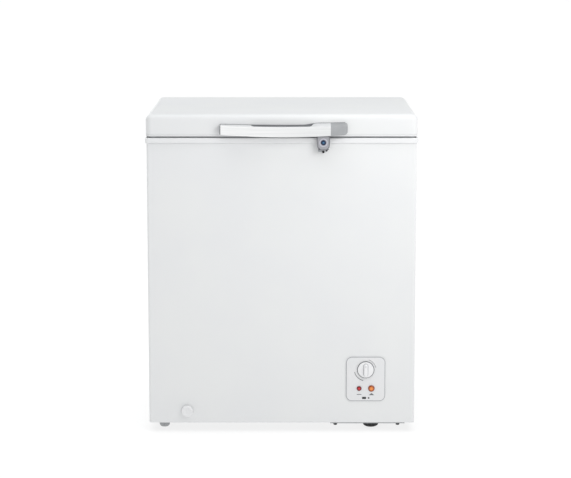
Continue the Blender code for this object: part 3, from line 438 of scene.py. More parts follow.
def faceOut(bm, centre):
    # turns an open sheet's faces away from the centre
    bmesh.ops.recalc_face_normals(bm, faces=bm.faces)
    bm.normal_update()
    outward = sum(f.normal.dot(f.calc_center_median() - Vector(centre)) * f.calc_area()
                  for f in bm.faces)
    if outward < 0:
        bmesh.ops.reverse_faces(bm, faces=bm.faces)


def makePiece(name, bm, body, finish, replaced=(), smooth=35):
    mesh = bpy.data.meshes.new(name)
    bm.to_mesh(mesh)
    bm.free()
    mesh.materials.append(finishes[finish])
    piece = bpy.data.objects.new(name, mesh)
    bpy.context.scene.collection.objects.link(piece)
    mesh.shade_smooth()
    mesh.set_sharp_from_angle(angle=math.radians(smooth))
    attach(piece, body)
    if replaced:
        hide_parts(*replaced)
    return piece


def sheetModifier(piece, thickness, evenCorners=True):
    sheet = piece.modifiers.new("sheet", "SOLIDIFY")
    sheet.thickness = thickness
    sheet.offset = -1.0
    sheet.use_even_offset = evenCorners


def screwShape(origin, facing, radius=3.6 * mm, height=1.7 * mm):
    # pan head with a cross recess: a turned head whose top is pressed in along a cross
    profile = [(0, height * 0.82), (radius * 0.2, height * 0.84), (radius * 0.5, height),
               (radius * 0.82, height * 0.78), (radius, height * 0.35), (radius, 0), (0, 0)]
    head = spunShape(profile, (0, 0, 0), "+Z", 20)
    for vert in head.verts:
        across = min(abs(vert.co.x), abs(vert.co.y))
        if vert.co.z > height * 0.8 and vert.co.xy.length < radius * 0.6 and across < radius * 0.14:
            vert.co.z -= height * 0.45
    placeShape(head, facing, origin)
    return head


viewLook = {"lens": 118.9, "across": 0.0099, "away": 4.8125, "height": 1.3138, "tilt": 8.53,
            "shift": -0.0525}


def buildCamera():
    data = bpy.data.cameras.new("viewCamera")
    data.lens = viewLook["lens"]
    data.sensor_width = 36.0
    data.shift_y = viewLook["shift"]
    data.clip_end = 1000.0
    camera = bpy.data.objects.new("viewCamera", data)
    bpy.context.scene.collection.objects.link(camera)
    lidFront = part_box("lid_panel")[0].y
    camera.location = (viewLook["across"], lidFront - viewLook["away"], viewLook["height"])
    camera.rotation_euler = (math.radians(90 - viewLook["tilt"]), 0, 0)
    bpy.context.scene.camera = camera


lightLook = {
    "horizon": "#ffffff", "sky": "#a3a5a6", "band": (0.12, 0.3),
    "key": {"at": (0.9, -1.35, 1.45), "size": 0.9, "power": 9.4, "colour": "#ffffff"},
    "rear": {"at": (-1.3, 1.6, 1.4), "size": 0.9, "power": 8.0, "colour": "#ffffff"},
    "overhead": {"strength": 1.7, "spread": 70},
    "table": 0.8,
}


def buildLights():
    # a dimmer sky over a white horizon, one soft lamp high on the right and light from overhead
    world = bpy.data.worlds.new("studioWorld")
    world.use_nodes = True
    bpy.context.scene.world = world
    tree = world.node_tree
    place = addNode(tree, "ShaderNodeTexCoord")
    split = addNode(tree, "ShaderNodeSeparateXYZ", links=[(place.outputs["Generated"], "Vector")])
    ramp = toneRamp(tree, split.outputs["Z"], lightLook["band"],
                    (lightLook["horizon"], lightLook["sky"]))
    tree.links.new(ramp.outputs["Color"], tree.nodes["Background"].inputs["Color"])
    aim = (cadBox[0] + cadBox[1]) / 2
    for name in ("key", "rear"):
        look = lightLook[name]
        data = bpy.data.lights.new(name + "Light", "AREA")
        data.shape = "DISK"
        data.size = look["size"]
        data.energy = look["power"]
        data.color = hexColour(look["colour"])[:3]
        lamp = bpy.data.objects.new(name + "Light", data)
        lamp.location = look["at"]
        lamp.rotation_euler = (aim - Vector(look["at"])).to_track_quat("-Z", "Y").to_euler()
        bpy.context.scene.collection.objects.link(lamp)
    data = bpy.data.lights.new("overheadLight", "SUN")
    data.energy = lightLook["overhead"]["strength"]
    data.angle = math.radians(lightLook["overhead"]["spread"])
    lamp = bpy.data.objects.new("overheadLight", data)
    lamp.location = (0, 0, 4)
    bpy.context.scene.collection.objects.link(lamp)
    bpy.context.scene.view_settings.view_transform = "Standard"


def buildFloor():
    bm = bmesh.new()
    bmesh.ops.create_grid(bm, x_segments=1, y_segments=1, size=400.0)
    mesh = bpy.data.meshes.new("studioFloor")
    bm.to_mesh(mesh)
    bm.free()
    # Frosted white acrylic, lit from below like a light table.
    finish, _, shader, _ = newFinish("frostedTable", "#828282", 0.95,
                                      Specular_IOR_Level=0.0)
    shader.inputs["Emission Color"].default_value = hexColour("#ffffff")
    shader.inputs["Emission Strength"].default_value = lightLook["table"]
    mesh.materials.append(finish)
    floor = bpy.data.objects.new("studioFloor", mesh)
    bpy.context.scene.collection.objects.link(floor)


buildCamera()
buildLights()
buildFloor()
print("stage set")


cabinetLook = {"bend": 6 * mm, "sheet": 0.8 * mm, "lip": 9 * mm, "lipRound": 1.2 * mm}


def buildCabinetShell():
    low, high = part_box("cabinet_wrap")
    bend = cabinetLook["bend"]
    plan = [(low.x, high.y)] + arcPoints((low.x + bend, low.y + bend), bend, 180, 270, 10)
    plan += arcPoints((high.x - bend, low.y + bend), bend, 270, 360, 10) + [(high.x, high.y)]
    bm = bmesh.new()
    verts = [bm.verts.new((x, y, low.z)) for x, y in plan]
    edges = [bm.edges.new(pair) for pair in zip(verts, verts[1:])]
    moved = movedVerts(bmesh.ops.extrude_edge_only(bm, edges=edges))
    bmesh.ops.translate(bm, vec=(0, 0, high.z - low.z), verts=moved)
    # turned-in lips along the top and bottom
    centre = (low + high) / 2
    lip = cabinetLook["lip"]
    for level in (low.z, high.z):
        rim = [e for e in rimEdges(bm) if all(abs(v.co.z - level) < 0.1 * mm for v in e.verts)]
        turned = movedVerts(bmesh.ops.extrude_edge_only(bm, edges=rim))
        for vert in turned:
            vert.co.x -= math.copysign(lip, vert.co.x - centre.x)
            vert.co.y = min(vert.co.y + lip, high.y) if vert.co.y < high.y - mm else vert.co.y
    faceOut(bm, centre)
    roundEdges(bm, sharpEdges(bm, 60), cabinetLook["lipRound"], 3)
    piece = makePiece("cabinetShell", bm, "cabinet", "steel", ["cabinet_wrap"], 30)
    sheetModifier(piece, cabinetLook["sheet"])


collarLook = {"corner": 8 * mm, "round": 2.6 * mm, "groove": 0.7 * mm, "lip": 1.6 * mm,
              "width": 43.5 * mm, "easing": 1.5 * mm}


def buildTopCollar():
    # frame round the cabinet's top: raised outer lip and a fine groove near its foot
    low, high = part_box("top_frame")
    bend, groove, easing = collarLook["round"], collarLook["groove"], collarLook["easing"]
    width, top = collarLook["width"], high.z + collarLook["lip"]
    turns = [math.radians(a) for a in range(0, 91, 15)]
    profile = [(6.0 * mm, high.z), (5.0 * mm, high.z + 0.3 * mm), (4.0 * mm, top)]
    profile += [(bend * (1 - math.sin(a)), top - bend * (1 - math.cos(a))) for a in turns]
    profile += [(0, low.z + 2.2 * mm), (groove, low.z + 1.8 * mm), (groove, low.z + 1.2 * mm),
                (0.4 * mm, low.z + 0.8 * mm), (1.2 * mm, low.z), (width, low.z),
                (width, high.z - easing), (width - easing, high.z)]
    bm = ringShape(profile, lambda inset: roundedOutline(low, high, collarLook["corner"], inset))
    makePiece("topCollar", bm, "cabinet", "absWhite", ["top_frame"], 40)


tankLook = {"sheet": 1.0 * mm, "corner": 18 * mm, "flange": 22 * mm, "wall": 60 * mm,
            "step": (225.5 * mm, 245 * mm)}  # step: width and height of the machine space


def spreadOut(value, inner, outer):
    # carries a rim coordinate out from its rounded corner to the flange's square edge
    corner = tankLook["corner"]
    start, end = inner[0] + corner, inner[1] - corner
    if value < start:
        return max(start + (value - start) * 3.5, outer[0])
    if value > end:
        return min(end + (value - end) * 3.5, outer[1])
    return value


def buildTank():
    # the tank seen with the lid up: one pressed sheet with generous corners and a square flange
    low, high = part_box("cabinet_liner")
    flange = tankLook["flange"]
    x0, x1 = low.x + flange, high.x - flange
    y0, y1 = low.y + flange, high.y - flange
    floor = low.z + 1.2 * mm
    stepX = x1 - tankLook["step"][0]
    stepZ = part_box("cabinet_wrap")[0].z + tankLook["step"][1] + tankLook["wall"]
    outline = [(x0, floor), (stepX, floor), (stepX, stepZ), (x1, stepZ), (x1, high.z),
               (x0, high.z)]
    bm = bmesh.new()
    face = bm.faces.new([bm.verts.new((x, y0, z)) for x, z in outline])
    moved = movedVerts(bmesh.ops.extrude_face_region(bm, geom=[face]))
    bmesh.ops.translate(bm, vec=(0, y1 - y0, 0), verts=moved)
    top = max(bm.faces, key=lambda f: f.calc_center_median().z)
    bmesh.ops.delete(bm, geom=[top], context="FACES")
    roundEdges(bm, [e for e in bm.edges if len(e.link_faces) == 2], tankLook["corner"], 8)
    rim = movedVerts(bmesh.ops.extrude_edge_only(bm, edges=rimEdges(bm)))
    for vert in rim:
        vert.co.x = spreadOut(vert.co.x, (x0, x1), (low.x, high.x))
        vert.co.y = spreadOut(vert.co.y, (y0, y1), (low.y, high.y))
    bmesh.ops.recalc_face_normals(bm, faces=bm.faces)
    bm.normal_update()
    lowest = min(bm.faces, key=lambda f: f.calc_center_median().z)
    if lowest.normal.z < 0:
        bmesh.ops.reverse_faces(bm, faces=bm.faces)
    piece = makePiece("innerTank", bm, "cabinet", "stucco", ["cabinet_liner"], 35)
    sheetModifier(piece, tankLook["sheet"])


buildCabinetShell()
buildTopCollar()
buildTank()
print("cabinet built")


lidLook = {"round": 16 * mm, "segments": 10, "sheet": 0.8 * mm, "lip": 5 * mm,
           "lipRound": 1.0 * mm}


def buildLidSkin():
    low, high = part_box("lid_panel")
    bm = blockShape(low, high)
    bottom = min(bm.faces, key=lambda f: f.calc_center_median().z)
    bmesh.ops.delete(bm, geom=[bottom], context="FACES")
    roundEdges(bm, [e for e in bm.edges if len(e.link_faces) == 2], lidLook["round"],
               lidLook["segments"])
    centre = (low + high) / 2
    half = (high - low) / 2
    lip = lidLook["lip"]
    turned = movedVerts(bmesh.ops.extrude_edge_only(bm, edges=rimEdges(bm)))
    for vert in turned:
        vert.co.x = centre.x + (vert.co.x - centre.x) * (half.x - lip) / half.x
        vert.co.y = centre.y + (vert.co.y - centre.y) * (half.y - lip) / half.y
    faceOut(bm, centre)
    roundEdges(bm, [e for e in sharpEdges(bm, 60) if all(v.co.z < low.z + mm for v in e.verts)],
               lidLook["lipRound"], 3)
    piece = makePiece("lidSkin", bm, "lid", "steel", ["lid_panel"], 35)
    sheetModifier(piece, lidLook["sheet"])


# tray: millimetres in from the edge and down from the hem
linerLook = {"gap": 0.3 * mm, "hem": 2.5 * mm, "lip": 1.2 * mm, "corner": 15.5 * mm,
             "trayCorner": 30 * mm,
             "tray": ((46, 0), (48, 0.5), (50, 2.0), (53, 6.0), (55, 7.4), (58, 7.8), (86, 7.8),
                      (88, 7.4), (92, 4.2), (94, 3.8))}


def buildLidLiner():
    # vacuum-formed inner lid: thin hem all round, a tray pressed down inside it, a shallow panel
    low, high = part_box("lid_liner")
    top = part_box("lid_panel")[0].z - linerLook["gap"]
    hem = top - linerLook["hem"]
    lip = hem - linerLook["lip"]
    levels = [(1.0 * mm, top), (0.3 * mm, top - 0.3 * mm), (0, top - mm), (0, lip + 0.8 * mm),
              (0.3 * mm, lip + 0.2 * mm), (1.0 * mm, lip), (3.0 * mm, lip),
              (3.8 * mm, lip + 0.3 * mm), (4.6 * mm, hem)]
    levels += [(inset * mm, hem - drop * mm) for inset, drop in linerLook["tray"]]
    loops = []
    for inset, z in levels:
        corner = "corner" if inset < linerLook["trayCorner"] else "trayCorner"
        outline = roundedOutline((low.x + inset, low.y + inset), (high.x - inset, high.y - inset),
                                 linerLook[corner])
        loops.append([(x, y, z) for x, y in outline])
    makePiece("lidLiner", loftShape(loops), "lid", "absWhite", ["lid_liner"])


# section: millimetres in from the seal's edge and share of its height
sealLook = {"corner": 10 * mm,
            "section": ((1.0, 1), (0.2, 0.88), (1.8, 0.7), (0.6, 0.52), (0, 0.38), (0, 0.2),
                        (0.6, 0.04), (1.6, 0), (11.5, 0), (12.6, 0.1), (12.8, 0.4), (11.6, 0.6),
                        (13.6, 0.8), (13.6, 1))}


def buildSeal():
    # folded vinyl seal: a flat foot in the lid, a bellows and a round magnetic bead below
    low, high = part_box("lid_gasket")
    section = [(inset * mm, low.z + (high.z - low.z) * share)
               for inset, share in sealLook["section"]]
    bm = ringShape(section, lambda inset: roundedOutline(low, high, sealLook["corner"], inset, 6))
    makePiece("lidSeal", bm, "lid", "seal", ["lid_gasket"], 50)


buildLidSkin()
buildLidLiner()
buildSeal()
print("lid built")


# gap: where the fingers' gap starts and ends across the lid
handleLook = {"drop": 2.0 * mm, "bottomDrop": 5.0 * mm, "topIn": 2.4 * mm, "bottomIn": 1.2 * mm,
              "round": 2.0 * mm, "endRound": 9 * mm, "leftLift": 2.0 * mm, "rightLift": 6.5 * mm,
              "bar": 9.5 * mm, "shadeTrim": 2.4 * mm, "gap": (-80.2 * mm, 81.8 * mm),
              "gapBlend": 9 * mm, "bowEnd": 1.2 * mm, "strip": 1.6 * mm, "setBack": 1.5 * mm,
              "stripIn": 0.4 * mm}
handleLow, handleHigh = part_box("handle_body")
endLow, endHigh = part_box("handle_end")
stripLow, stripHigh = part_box("handle_strip")
handleLeft, handleRight = handleLow.x, endHigh.x
handleBack = handleHigh.y


def easeStep(value, start, end):
    t = min(max((value - start) / (end - start), 0), 1)
    return t * t * (3 - 2 * t)


def bowAt(x):
    # how far along the bow x lies, 1 in the middle and 0 at the ends
    along = (2 * x - handleRight - handleLeft) / (handleRight - handleLeft)
    return max(1 - along * along, 0)


def frontAt(x):
    ends = stripHigh.y - handleLook["bowEnd"]
    return ends + (stripLow.y - ends) * bowAt(x)


def handleLevels(x):
    bow = bowAt(x)
    return (handleLow.z + handleLook["bottomIn"] - handleLook["bottomDrop"] * bow,
            handleHigh.z - handleLook["topIn"] - handleLook["drop"] * bow)


def liftAt(x):
    # how far the arms climb towards the lid, more on the right than on the left
    right, left = handleLook["gap"][1], handleLook["leftLift"]
    return left + (handleLook["rightLift"] - left) * easeStep(x, right - 30 * mm, right + 12 * mm)


def barSection(x, front, back, low, high, radius, rearLift=0.0, steps=5):
    # rounded section across the bar, from its top back corner round by the front
    radius = min(radius, abs(back - front) * 0.45, (high - low) * 0.45)
    y0, y1 = front + radius, back - radius
    corners = (((y1, high + rearLift - radius), 0), ((y0, high - radius), 90),
               ((y0, low + radius), 180), ((y1, low + radius), 270))
    return [(x, y, z) for corner, start in corners
            for y, z in arcPoints(corner, radius, start, start + 90, steps)]


def evenStops(left, right, count):
    return [left + (right - left) * i / count for i in range(count + 1)]


def handlePiece(name, stops, section, finish, replaced=(), smooth=45):
    makePiece(name, loftShape([section(x) for x in stops]), "lid", finish, replaced, smooth)


def buildHandleBody():
    start, end = handleLook["gap"]
    blend = handleLook["gapBlend"]

    def body(x):
        # the full depth of an arm at both ends, a slim bar over the fingers' gap
        low, high = handleLevels(x)
        front = frontAt(x) + handleLook["setBack"]
        arm = 1 - (easeStep(x, start - 2 * mm, start + blend)
                   * easeStep(-x, -end - 2 * mm, -end + blend))
        barBack = front + handleLook["bar"]
        return barSection(x, front, barBack + (handleBack - barBack) * arm, low, high,
                          handleLook["round"], liftAt(x) * arm)

    def paintedShadePlate(x):
        # dark plate painted as shade: the shaded recess behind the fingers and a thin shadow line
        # round the arms
        low, high = handleLevels(x)
        return barSection(x, handleBack - 1.4 * mm, handleBack - 0.2 * mm, low + 2 * mm,
                          high + liftAt(x) + 0.8 * mm, 0.3 * mm)
    handlePiece("handleBody", evenStops(handleLeft + handleLook["shadeTrim"], handleHigh.x, 90), body,
                "absSilver", ["handle_body"])
    # the backing plate's dark grey is painted shade
    handlePiece("handleShadeBacking", evenStops(handleLeft + mm, handleRight - 6 * mm, 60), paintedShadePlate,
                "paintedShadeAbs", smooth=35)


def buildHandleFront():
    edge = handleLook["stripIn"]

    def shadeTrim(x):
        # dark end trim on the left, a little proud of the strip, painted as the shadow gap at the
        # strip's end
        low, high = handleLevels(x)
        return barSection(x, frontAt(x) + edge, handleBack, low + edge, high - edge / 2,
                          handleLook["round"], handleLook["leftLift"] * 0.6)

    def strip(x):
        low, high = handleLevels(x)
        front = frontAt(x)
        return barSection(x, front, front + handleLook["strip"], low + edge, high - edge,
                          0.7 * mm, 0, 4)
    shadeTrimEnd = handleLook["shadeTrim"]
    # the left trim's dark grey is painted shade
    handlePiece("handleShadeTrim", evenStops(handleLeft, handleLeft + shadeTrimEnd, 4), shadeTrim, "paintedShadeAbs")
    handlePiece("handleStrip", evenStops(stripLow.x + shadeTrimEnd, stripHigh.x, 60), strip, "strip",
                ["handle_strip"])


def buildHandleEnd():
    # grey cap on the right: an arm and its face, both drawn in round the tip
    right, tip, edge = endHigh.x, handleLook["endRound"], handleLook["stripIn"]

    def shrinkAt(x):
        near = min(max((x - (right - tip)) / tip, 0), 1)
        return 1 - math.sqrt(1 - near * near)

    def arm(x):
        low, high = handleLevels(x)
        shrink = shrinkAt(x)
        inward = tip * 0.8 * shrink
        return barSection(x, frontAt(x) + handleLook["setBack"] + inward, handleBack,
                          low + inward, high - tip * 0.2 * shrink, handleLook["round"],
                          liftAt(x) * (1 - 0.5 * shrink))

    def face(x):
        low, high = handleLevels(x)
        inward = tip * 0.8 * shrinkAt(x)
        front = frontAt(x) + inward
        return barSection(x, front, front + handleLook["strip"], low + edge + inward,
                          high - edge - tip * 0.35 * shrinkAt(x), 0.7 * mm, 0, 4)
    stops = evenStops(endLow.x, right - tip, 24)
    stops += [right - tip + tip * math.sin(math.radians(85 * i / 12)) for i in range(1, 13)]
    handlePiece("handleEndArm", stops, arm, "absGrey", ["handle_end"])
    handlePiece("handleEndFace", stops, face, "absGrey")


buildHandleBody()
buildHandleFront()
buildHandleEnd()
print("handle built")


lockLook = {"rim": 2.4 * mm, "ring": 11.0 * mm, "taper": 16 * mm, "corner": 12.5 * mm,
            "sink": 0.5 * mm, "wall": 2.0 * mm, "edge": 1.6 * mm, "core": 2.2 * mm,
            "slot": (0.8 * mm, 4.6 * mm)}


def lockOutline(low, high, inset=0.0):
    # straight sides down to the taper, then two wide arcs meeting below
    half = (high.x - low.x) / 2 - inset
    mid = (high.x + low.x) / 2
    radius = lockLook["corner"] - inset
    level, shoulder = low.z + inset + radius, low.z + lockLook["taper"]
    points = [(mid - half, high.z - inset), (mid - half, shoulder)]
    points += arcPoints((mid - half + radius + 0.5 * mm, level), radius, 196, 270, 8)
    points += arcPoints((mid + half - radius - 0.5 * mm, level), radius, 270, 344, 8)
    return points + [(mid + half, shoulder), (mid + half, high.z - inset)]


def buildLockHousing(low, high):
    # shell open at the back and below, its face sunk inside a rounded rim
    shell = prismShape(lockOutline(low, high), high.y - low.y, "-Y", (0, high.y, 0))
    shell.normal_update()
    back = max(shell.faces, key=lambda f: f.calc_center_median().y)
    bottoms = [f for f in shell.faces if f.normal.z < -0.75 and f is not back]
    bmesh.ops.delete(shell, geom=[back] + bottoms, context="FACES")
    shell.normal_update()
    front = min(shell.faces, key=lambda f: f.calc_center_median().y)
    roundEdges(shell, front.edges, lockLook["edge"], 4)
    shell.normal_update()
    front = min(shell.faces, key=lambda f: f.calc_center_median().y - f.calc_area())
    bmesh.ops.inset_region(shell, faces=[front], thickness=lockLook["rim"], use_even_offset=True)
    bmesh.ops.translate(shell, vec=(0, lockLook["sink"], 0), verts=front.verts)
    piece = makePiece("lockHousing", shell, "lid", "absLock", ["lock_housing"])
    sheetModifier(piece, lockLook["wall"], evenCorners=False)  # even corners spike at the foot


def buildLock():
    low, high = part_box("lock_housing")
    high.z = handleLevels((low.x + high.x) / 2)[0] - 0.3 * mm
    centre, bore = middleOf("lock_cylinder")
    ring, core, faceY = lockLook["ring"], lockLook["core"], low.y + lockLook["sink"]
    face = prismShape(lockOutline(low, high, lockLook["rim"] + 0.3 * mm), 0.4 * mm, "-Y",
                      (0, faceY, 0))
    makePiece("lockFace", face, "lid", "absLockFace")
    buildLockHousing(low, high)
    profile = [(bore + 0.3 * mm, -mm), (bore + 0.3 * mm, 0.8 * mm), (bore + mm, 1.3 * mm),
               (ring - 0.8 * mm, 1.2 * mm), (ring, 0.4 * mm), (ring, -mm)]
    makePiece("lockRing", spunShape(profile, (centre.x, faceY, centre.z), "-Y"), "lid",
              "absLilac")
    spot = (centre.x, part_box("lock_cylinder")[0].y + mm, centre.z)
    barrel = [(0, 0.9 * mm), (3.4 * mm, 0.9 * mm), (3.9 * mm, 0.2 * mm), (bore * 0.8, 0.0),
              (bore, -0.8 * mm), (bore, -8.0 * mm), (0, -8.0 * mm)]
    makePiece("lockBarrel", spunShape(barrel, spot, "-Y", 40), "lock", "navyAbs",
              ["lock_cylinder"])
    button = [(0, 1.1 * mm), (core - 0.3 * mm, 1.1 * mm), (core, 0.9 * mm), (core, 0.5 * mm),
              (0, 0.5 * mm)]
    makePiece("lockCore", spunShape(button, spot, "-Y", 32), "lock", "blueAbs")
    wide, tall = lockLook["slot"]
    slot = blockShape((spot[0] - wide / 2, spot[1] - 1.25 * mm, spot[2] - tall / 2),
                      (spot[0] + wide / 2, spot[1] - 0.9 * mm, spot[2] + tall / 2))
    makePiece("keySlot", slot, "lock", "darkInk")


# screws: millimetres right of the key barrel, up from the keeper's foot, and radius
keeperLook = {"screws": ((0, 0.2, 3.2), (8.5, 3.8, 2.6)), "stand": 8.8 * mm}


def buildKeeper():
    low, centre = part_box("lock_keeper")[0], middleOf("lock_cylinder")[0]
    heads = []
    for x, z, radius in keeperLook["screws"]:
        radius *= mm
        profile = [(0, 1.5 * mm), (radius * 0.6, 1.4 * mm), (radius, 0.5 * mm), (radius, 0),
                   (0, 0)]
        heads.append(spunShape(profile, (centre.x + x * mm, low.y + keeperLook["stand"],
                                         low.z + z * mm), "-Y", 24))
    makePiece("keeperScrews", mergeShapes(heads), "cabinet", "rubber")


buildLock()
buildKeeper()
print("lock built")


panelLook = {"corner": 15 * mm, "round": 0.4 * mm, "line": 1.5 * mm, "lineRise": 0.1 * mm}


def buildPanel():
    low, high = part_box("control_panel")
    faceY = low.y
    line, rise = panelLook["line"], panelLook["lineRise"]

    def outline(inset):
        return roundedOutline((low.x, low.z), (high.x, high.z), panelLook["corner"], inset, 12)
    plate = prismShape(outline(0), high.y - faceY, "-Y", (0, high.y, 0))
    roundEdges(plate, sharpEdges(plate, 60), panelLook["round"], 4)
    makePiece("panelPlate", plate, "cabinet", "absPanel", ["control_panel"])
    # thin grey line round the plate's edge: painted shade of the gap round the panel
    border = ringShape([(0, 0), (line, 0), (line, rise), (0, rise)], outline)
    placeShape(border, "-Y", (0, faceY, 0))
    makePiece("panelShadeLine", border, "cabinet", "paintedShadeInk")
    buildKnob(faceY)
    buildLamps(faceY)
    buildPanelPrint(faceY)


knobLook = {"skirt": 1.7 * mm, "notches": 36, "notch": 0.9 * mm, "face": 4.8 * mm,
            "grip": (11 * mm, 32 * mm, 11.2 * mm), "gripCorner": 5.2 * mm,  # width, length, height
            "gripTaper": (0.78, 0.95), "bed": 0.3 * mm, "markHeight": 15.58 * mm,
            "mark": ((-0.5, 8), (0.5, 8), (0.5, 12.5), (-0.5, 12.5))}  # mm from the middle


def buildKnob(faceY):
    # painted shadow ring in notched grey round the dial, white dial with a tapered finger grip, and
    # a line at the grip's top
    centre, radius = middleOf("thermostat_knob")
    spot = (centre.x, faceY, centre.z)
    skirt = radius - knobLook["skirt"]
    face = knobLook["face"]
    steps = 4 * knobLook["notches"]
    ring = spunShape([(skirt - 0.6 * mm, 0.5 * mm), (skirt - 0.6 * mm, 2.6 * mm),
                      (radius - 0.5 * mm, 2.6 * mm), (radius, 2.0 * mm), (radius, 0.5 * mm)],
                     (0, 0, 0), "+Z", steps)
    for vert in ring.verts:
        step = math.atan2(vert.co.y, vert.co.x) / (2 * math.pi) * steps
        if vert.co.xy.length > skirt and round(step) % 4 == 0:
            vert.co.xy *= (radius - knobLook["notch"]) / radius
    placeShape(ring, "-Y", spot)
    # the ring's grey is painted shade of the gap round the dial
    makePiece("knobShadeRing", ring, "knob", "greyInkAndPaintedShade", smooth=30)
    dial = spunShape([(0, face), (skirt - 2.0 * mm, face), (skirt - 0.6 * mm, face - 0.5 * mm),
                      (skirt, 3.2 * mm), (skirt, 0.6 * mm), (0, 0.6 * mm)], spot, "-Y", 72)
    width, length, tall = knobLook["grip"]
    corner = knobLook["gripCorner"]
    # pale bed a little wider than the grip: painted shade round the grip's foot
    bed = slotOutline(centre.x, centre.z, width + 2 * mm, length + 2 * mm, corner + mm)
    makePiece("knobGripShade", prismShape(bed, knobLook["bed"], "-Y", (0, faceY - face + 0.1 * mm, 0)),
              "knob", "paintedShadeInk")
    grip = prismShape(slotOutline(centre.x, centre.z, width, length, corner), tall, "-Y",
                      (0, faceY - face + 0.4 * mm, 0))
    front = min(grip.faces, key=lambda f: f.calc_center_median().y)
    for vert in front.verts:
        vert.co.x = centre.x + (vert.co.x - centre.x) * knobLook["gripTaper"][0]
        vert.co.z = centre.z + (vert.co.z - centre.z) * knobLook["gripTaper"][1]
    roundEdges(grip, front.edges, 1.6 * mm, 4)
    makePiece("knobDial", mergeShapes([dial, grip]), "knob", "absKnob", ["thermostat_knob"])
    mark = printedMark(centre.x, centre.z, knobLook["mark"], faceY - knobLook["markHeight"])
    makePiece("knobMark", mark, "knob", "greyInkAndPaintedShade")


# each lamp's core and rim colours: painted glow in the middle and painted shade at the rim
lampLook = {"tones": {"red_lamp": ("#d4101c", "#5e0206"), "orange_lamp": ("#ff9636", "#8a3200")},
            "rim": 0.8 * mm, "rise": 3.2 * mm, "stem": 0.7, "depth": 2 * mm}


def buildLamps(faceY):
    # low domes on a stem through the panel
    rim, rise, depth = lampLook["rim"], lampLook["rise"], lampLook["depth"]
    for node, (core, edge) in lampLook["tones"].items():
        centre, radius = middleOf(node)
        stem = radius * lampLook["stem"]
        finishes[node] = lensPaintedGlow(node + "Acrylic", core, edge, centre, radius)
        turns = [math.radians(a) for a in range(80, -1, -10)]
        profile = [(0, rim + rise)]
        profile += [(radius * math.cos(a), rim + rise * math.sin(a)) for a in turns]
        profile += [(radius, 0), (stem, 0), (stem, -depth), (0, -depth)]
        makePiece(node.replace("_", "") + "Dome",
                  spunShape(profile, (centre.x, faceY, centre.z), "-Y"), "cabinet", node,
                  [node])


# arcs: radius, width, start and end angle round the dial; marks: millimetres from their place
printLook = {"rise": 0.12 * mm, "arcs": ((27.0, 1.0, 17, 80), (29.6, 1.7, 192, 258)),
             "marksDown": 10.6 * mm, "dash": ((-6.2, 0), (6.2, 0), (6.2, 1.8), (-6.2, 1.8)),
             "wedge": ((-6.5, -1), (7.5, -1), (3, 3), (0.5, 4.4), (-2, 3)),
             "badgeDown": 8.2 * mm, "bar": (13.25 * mm, -0.3 * mm, 10.5 * mm, 5.8 * mm),
             "dot": (25 * mm, -0.3 * mm, 2.2 * mm)}


def printedShape(points, faceY):
    return prismShape(points, printLook["rise"], "-Y", (0, faceY, 0))


def printedMark(x, z, points, faceY):
    return printedShape([(x + u * mm, z + v * mm) for u, v in points], faceY)


def printedArc(centre, radius, width, start, end, faceY):
    # start and end count clockwise from the top, as a dial is read
    outer = arcPoints(centre, radius + width / 2, 90 - start, 90 - end, 20)
    inner = arcPoints(centre, radius - width / 2, 90 - end, 90 - start, 20)
    return printedShape(outer + inner, faceY)


def buildPanelPrint(faceY):
    # scale arcs round the dial, a mark under each lamp, and a plain bar and dot
    dial = middleOf("thermostat_knob")[0]
    arcs = [printedArc((dial.x, dial.z), radius * mm, width * mm, start, end, faceY)
            for radius, width, start, end in printLook["arcs"]]
    red, orange = middleOf("red_lamp")[0].x, middleOf("orange_lamp")[0].x
    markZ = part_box("red_lamp")[0].z - printLook["marksDown"]
    marks = [printedMark(red, markZ, printLook["dash"], faceY),
             printedMark(orange, markZ, printLook["wedge"], faceY)]
    barZ = markZ - printLook["badgeDown"]
    x, z, width, height = printLook["bar"]
    bar = slotOutline(red + x, barZ + z, width, height, mm, 4)
    x, z, radius = printLook["dot"]
    dot = arcPoints((red + x, barZ + z), radius, 0, 345, 23)
    badge = [printedShape(bar, faceY), printedShape(dot, faceY)]
    for name, shapes, ink in (("scalePrint", arcs, "greyInkAndPaintedShade"), ("lampPrint", marks, "greyInkAndPaintedShade"),
                              ("badgePrint", badge, "darkInk")):
        makePiece(name, mergeShapes(shapes), "cabinet", ink)


buildPanel()
print("panel built")


drainLook = {"stand": 2.0 * mm, "face": 5.6 * mm, "ridge": 0.5 * mm, "wall": 1.8 * mm,
             "bar": 2.8 * mm, "barRise": 4.2 * mm}


def buildDrainDial():
    # shallow cap with a raised ring and a grip bar across it
    centre, radius = middleOf("drain_dial")
    stand, face, wall = drainLook["stand"], drainLook["face"], drainLook["wall"]
    ridge = face + drainLook["ridge"]
    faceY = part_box("drain_dial")[1].y - stand
    profile = [(0, face), (radius * 0.55, face), (radius * 0.60, ridge), (radius * 0.84, ridge),
               (radius * 0.94, face), (radius, 4.2 * mm), (radius, -stand),
               (radius - wall, -stand), (radius - wall, stand), (0, stand)]
    dial = spunShape(profile, (centre.x, faceY, centre.z), "-Y")
    bar = prismShape(slotOutline(centre.x, centre.z, drainLook["bar"], radius, 1.3 * mm, 5),
                     2.0 * mm, "-Y", (0, faceY - drainLook["barRise"], 0))
    makePiece("drainDial", mergeShapes([dial, bar]), "drain_end", "absWhite", ["drain_dial"])


buildDrainDial()
print("drain built")


# each column's feet: finish, slot and the collar's share of the width
footLook = {"sole": 8 * mm, "curved": 0.45, "left": ("nylonFoot", "grey_plastic", 0.8),
            "right": ("rubber", "black_rubber", 0.97)}


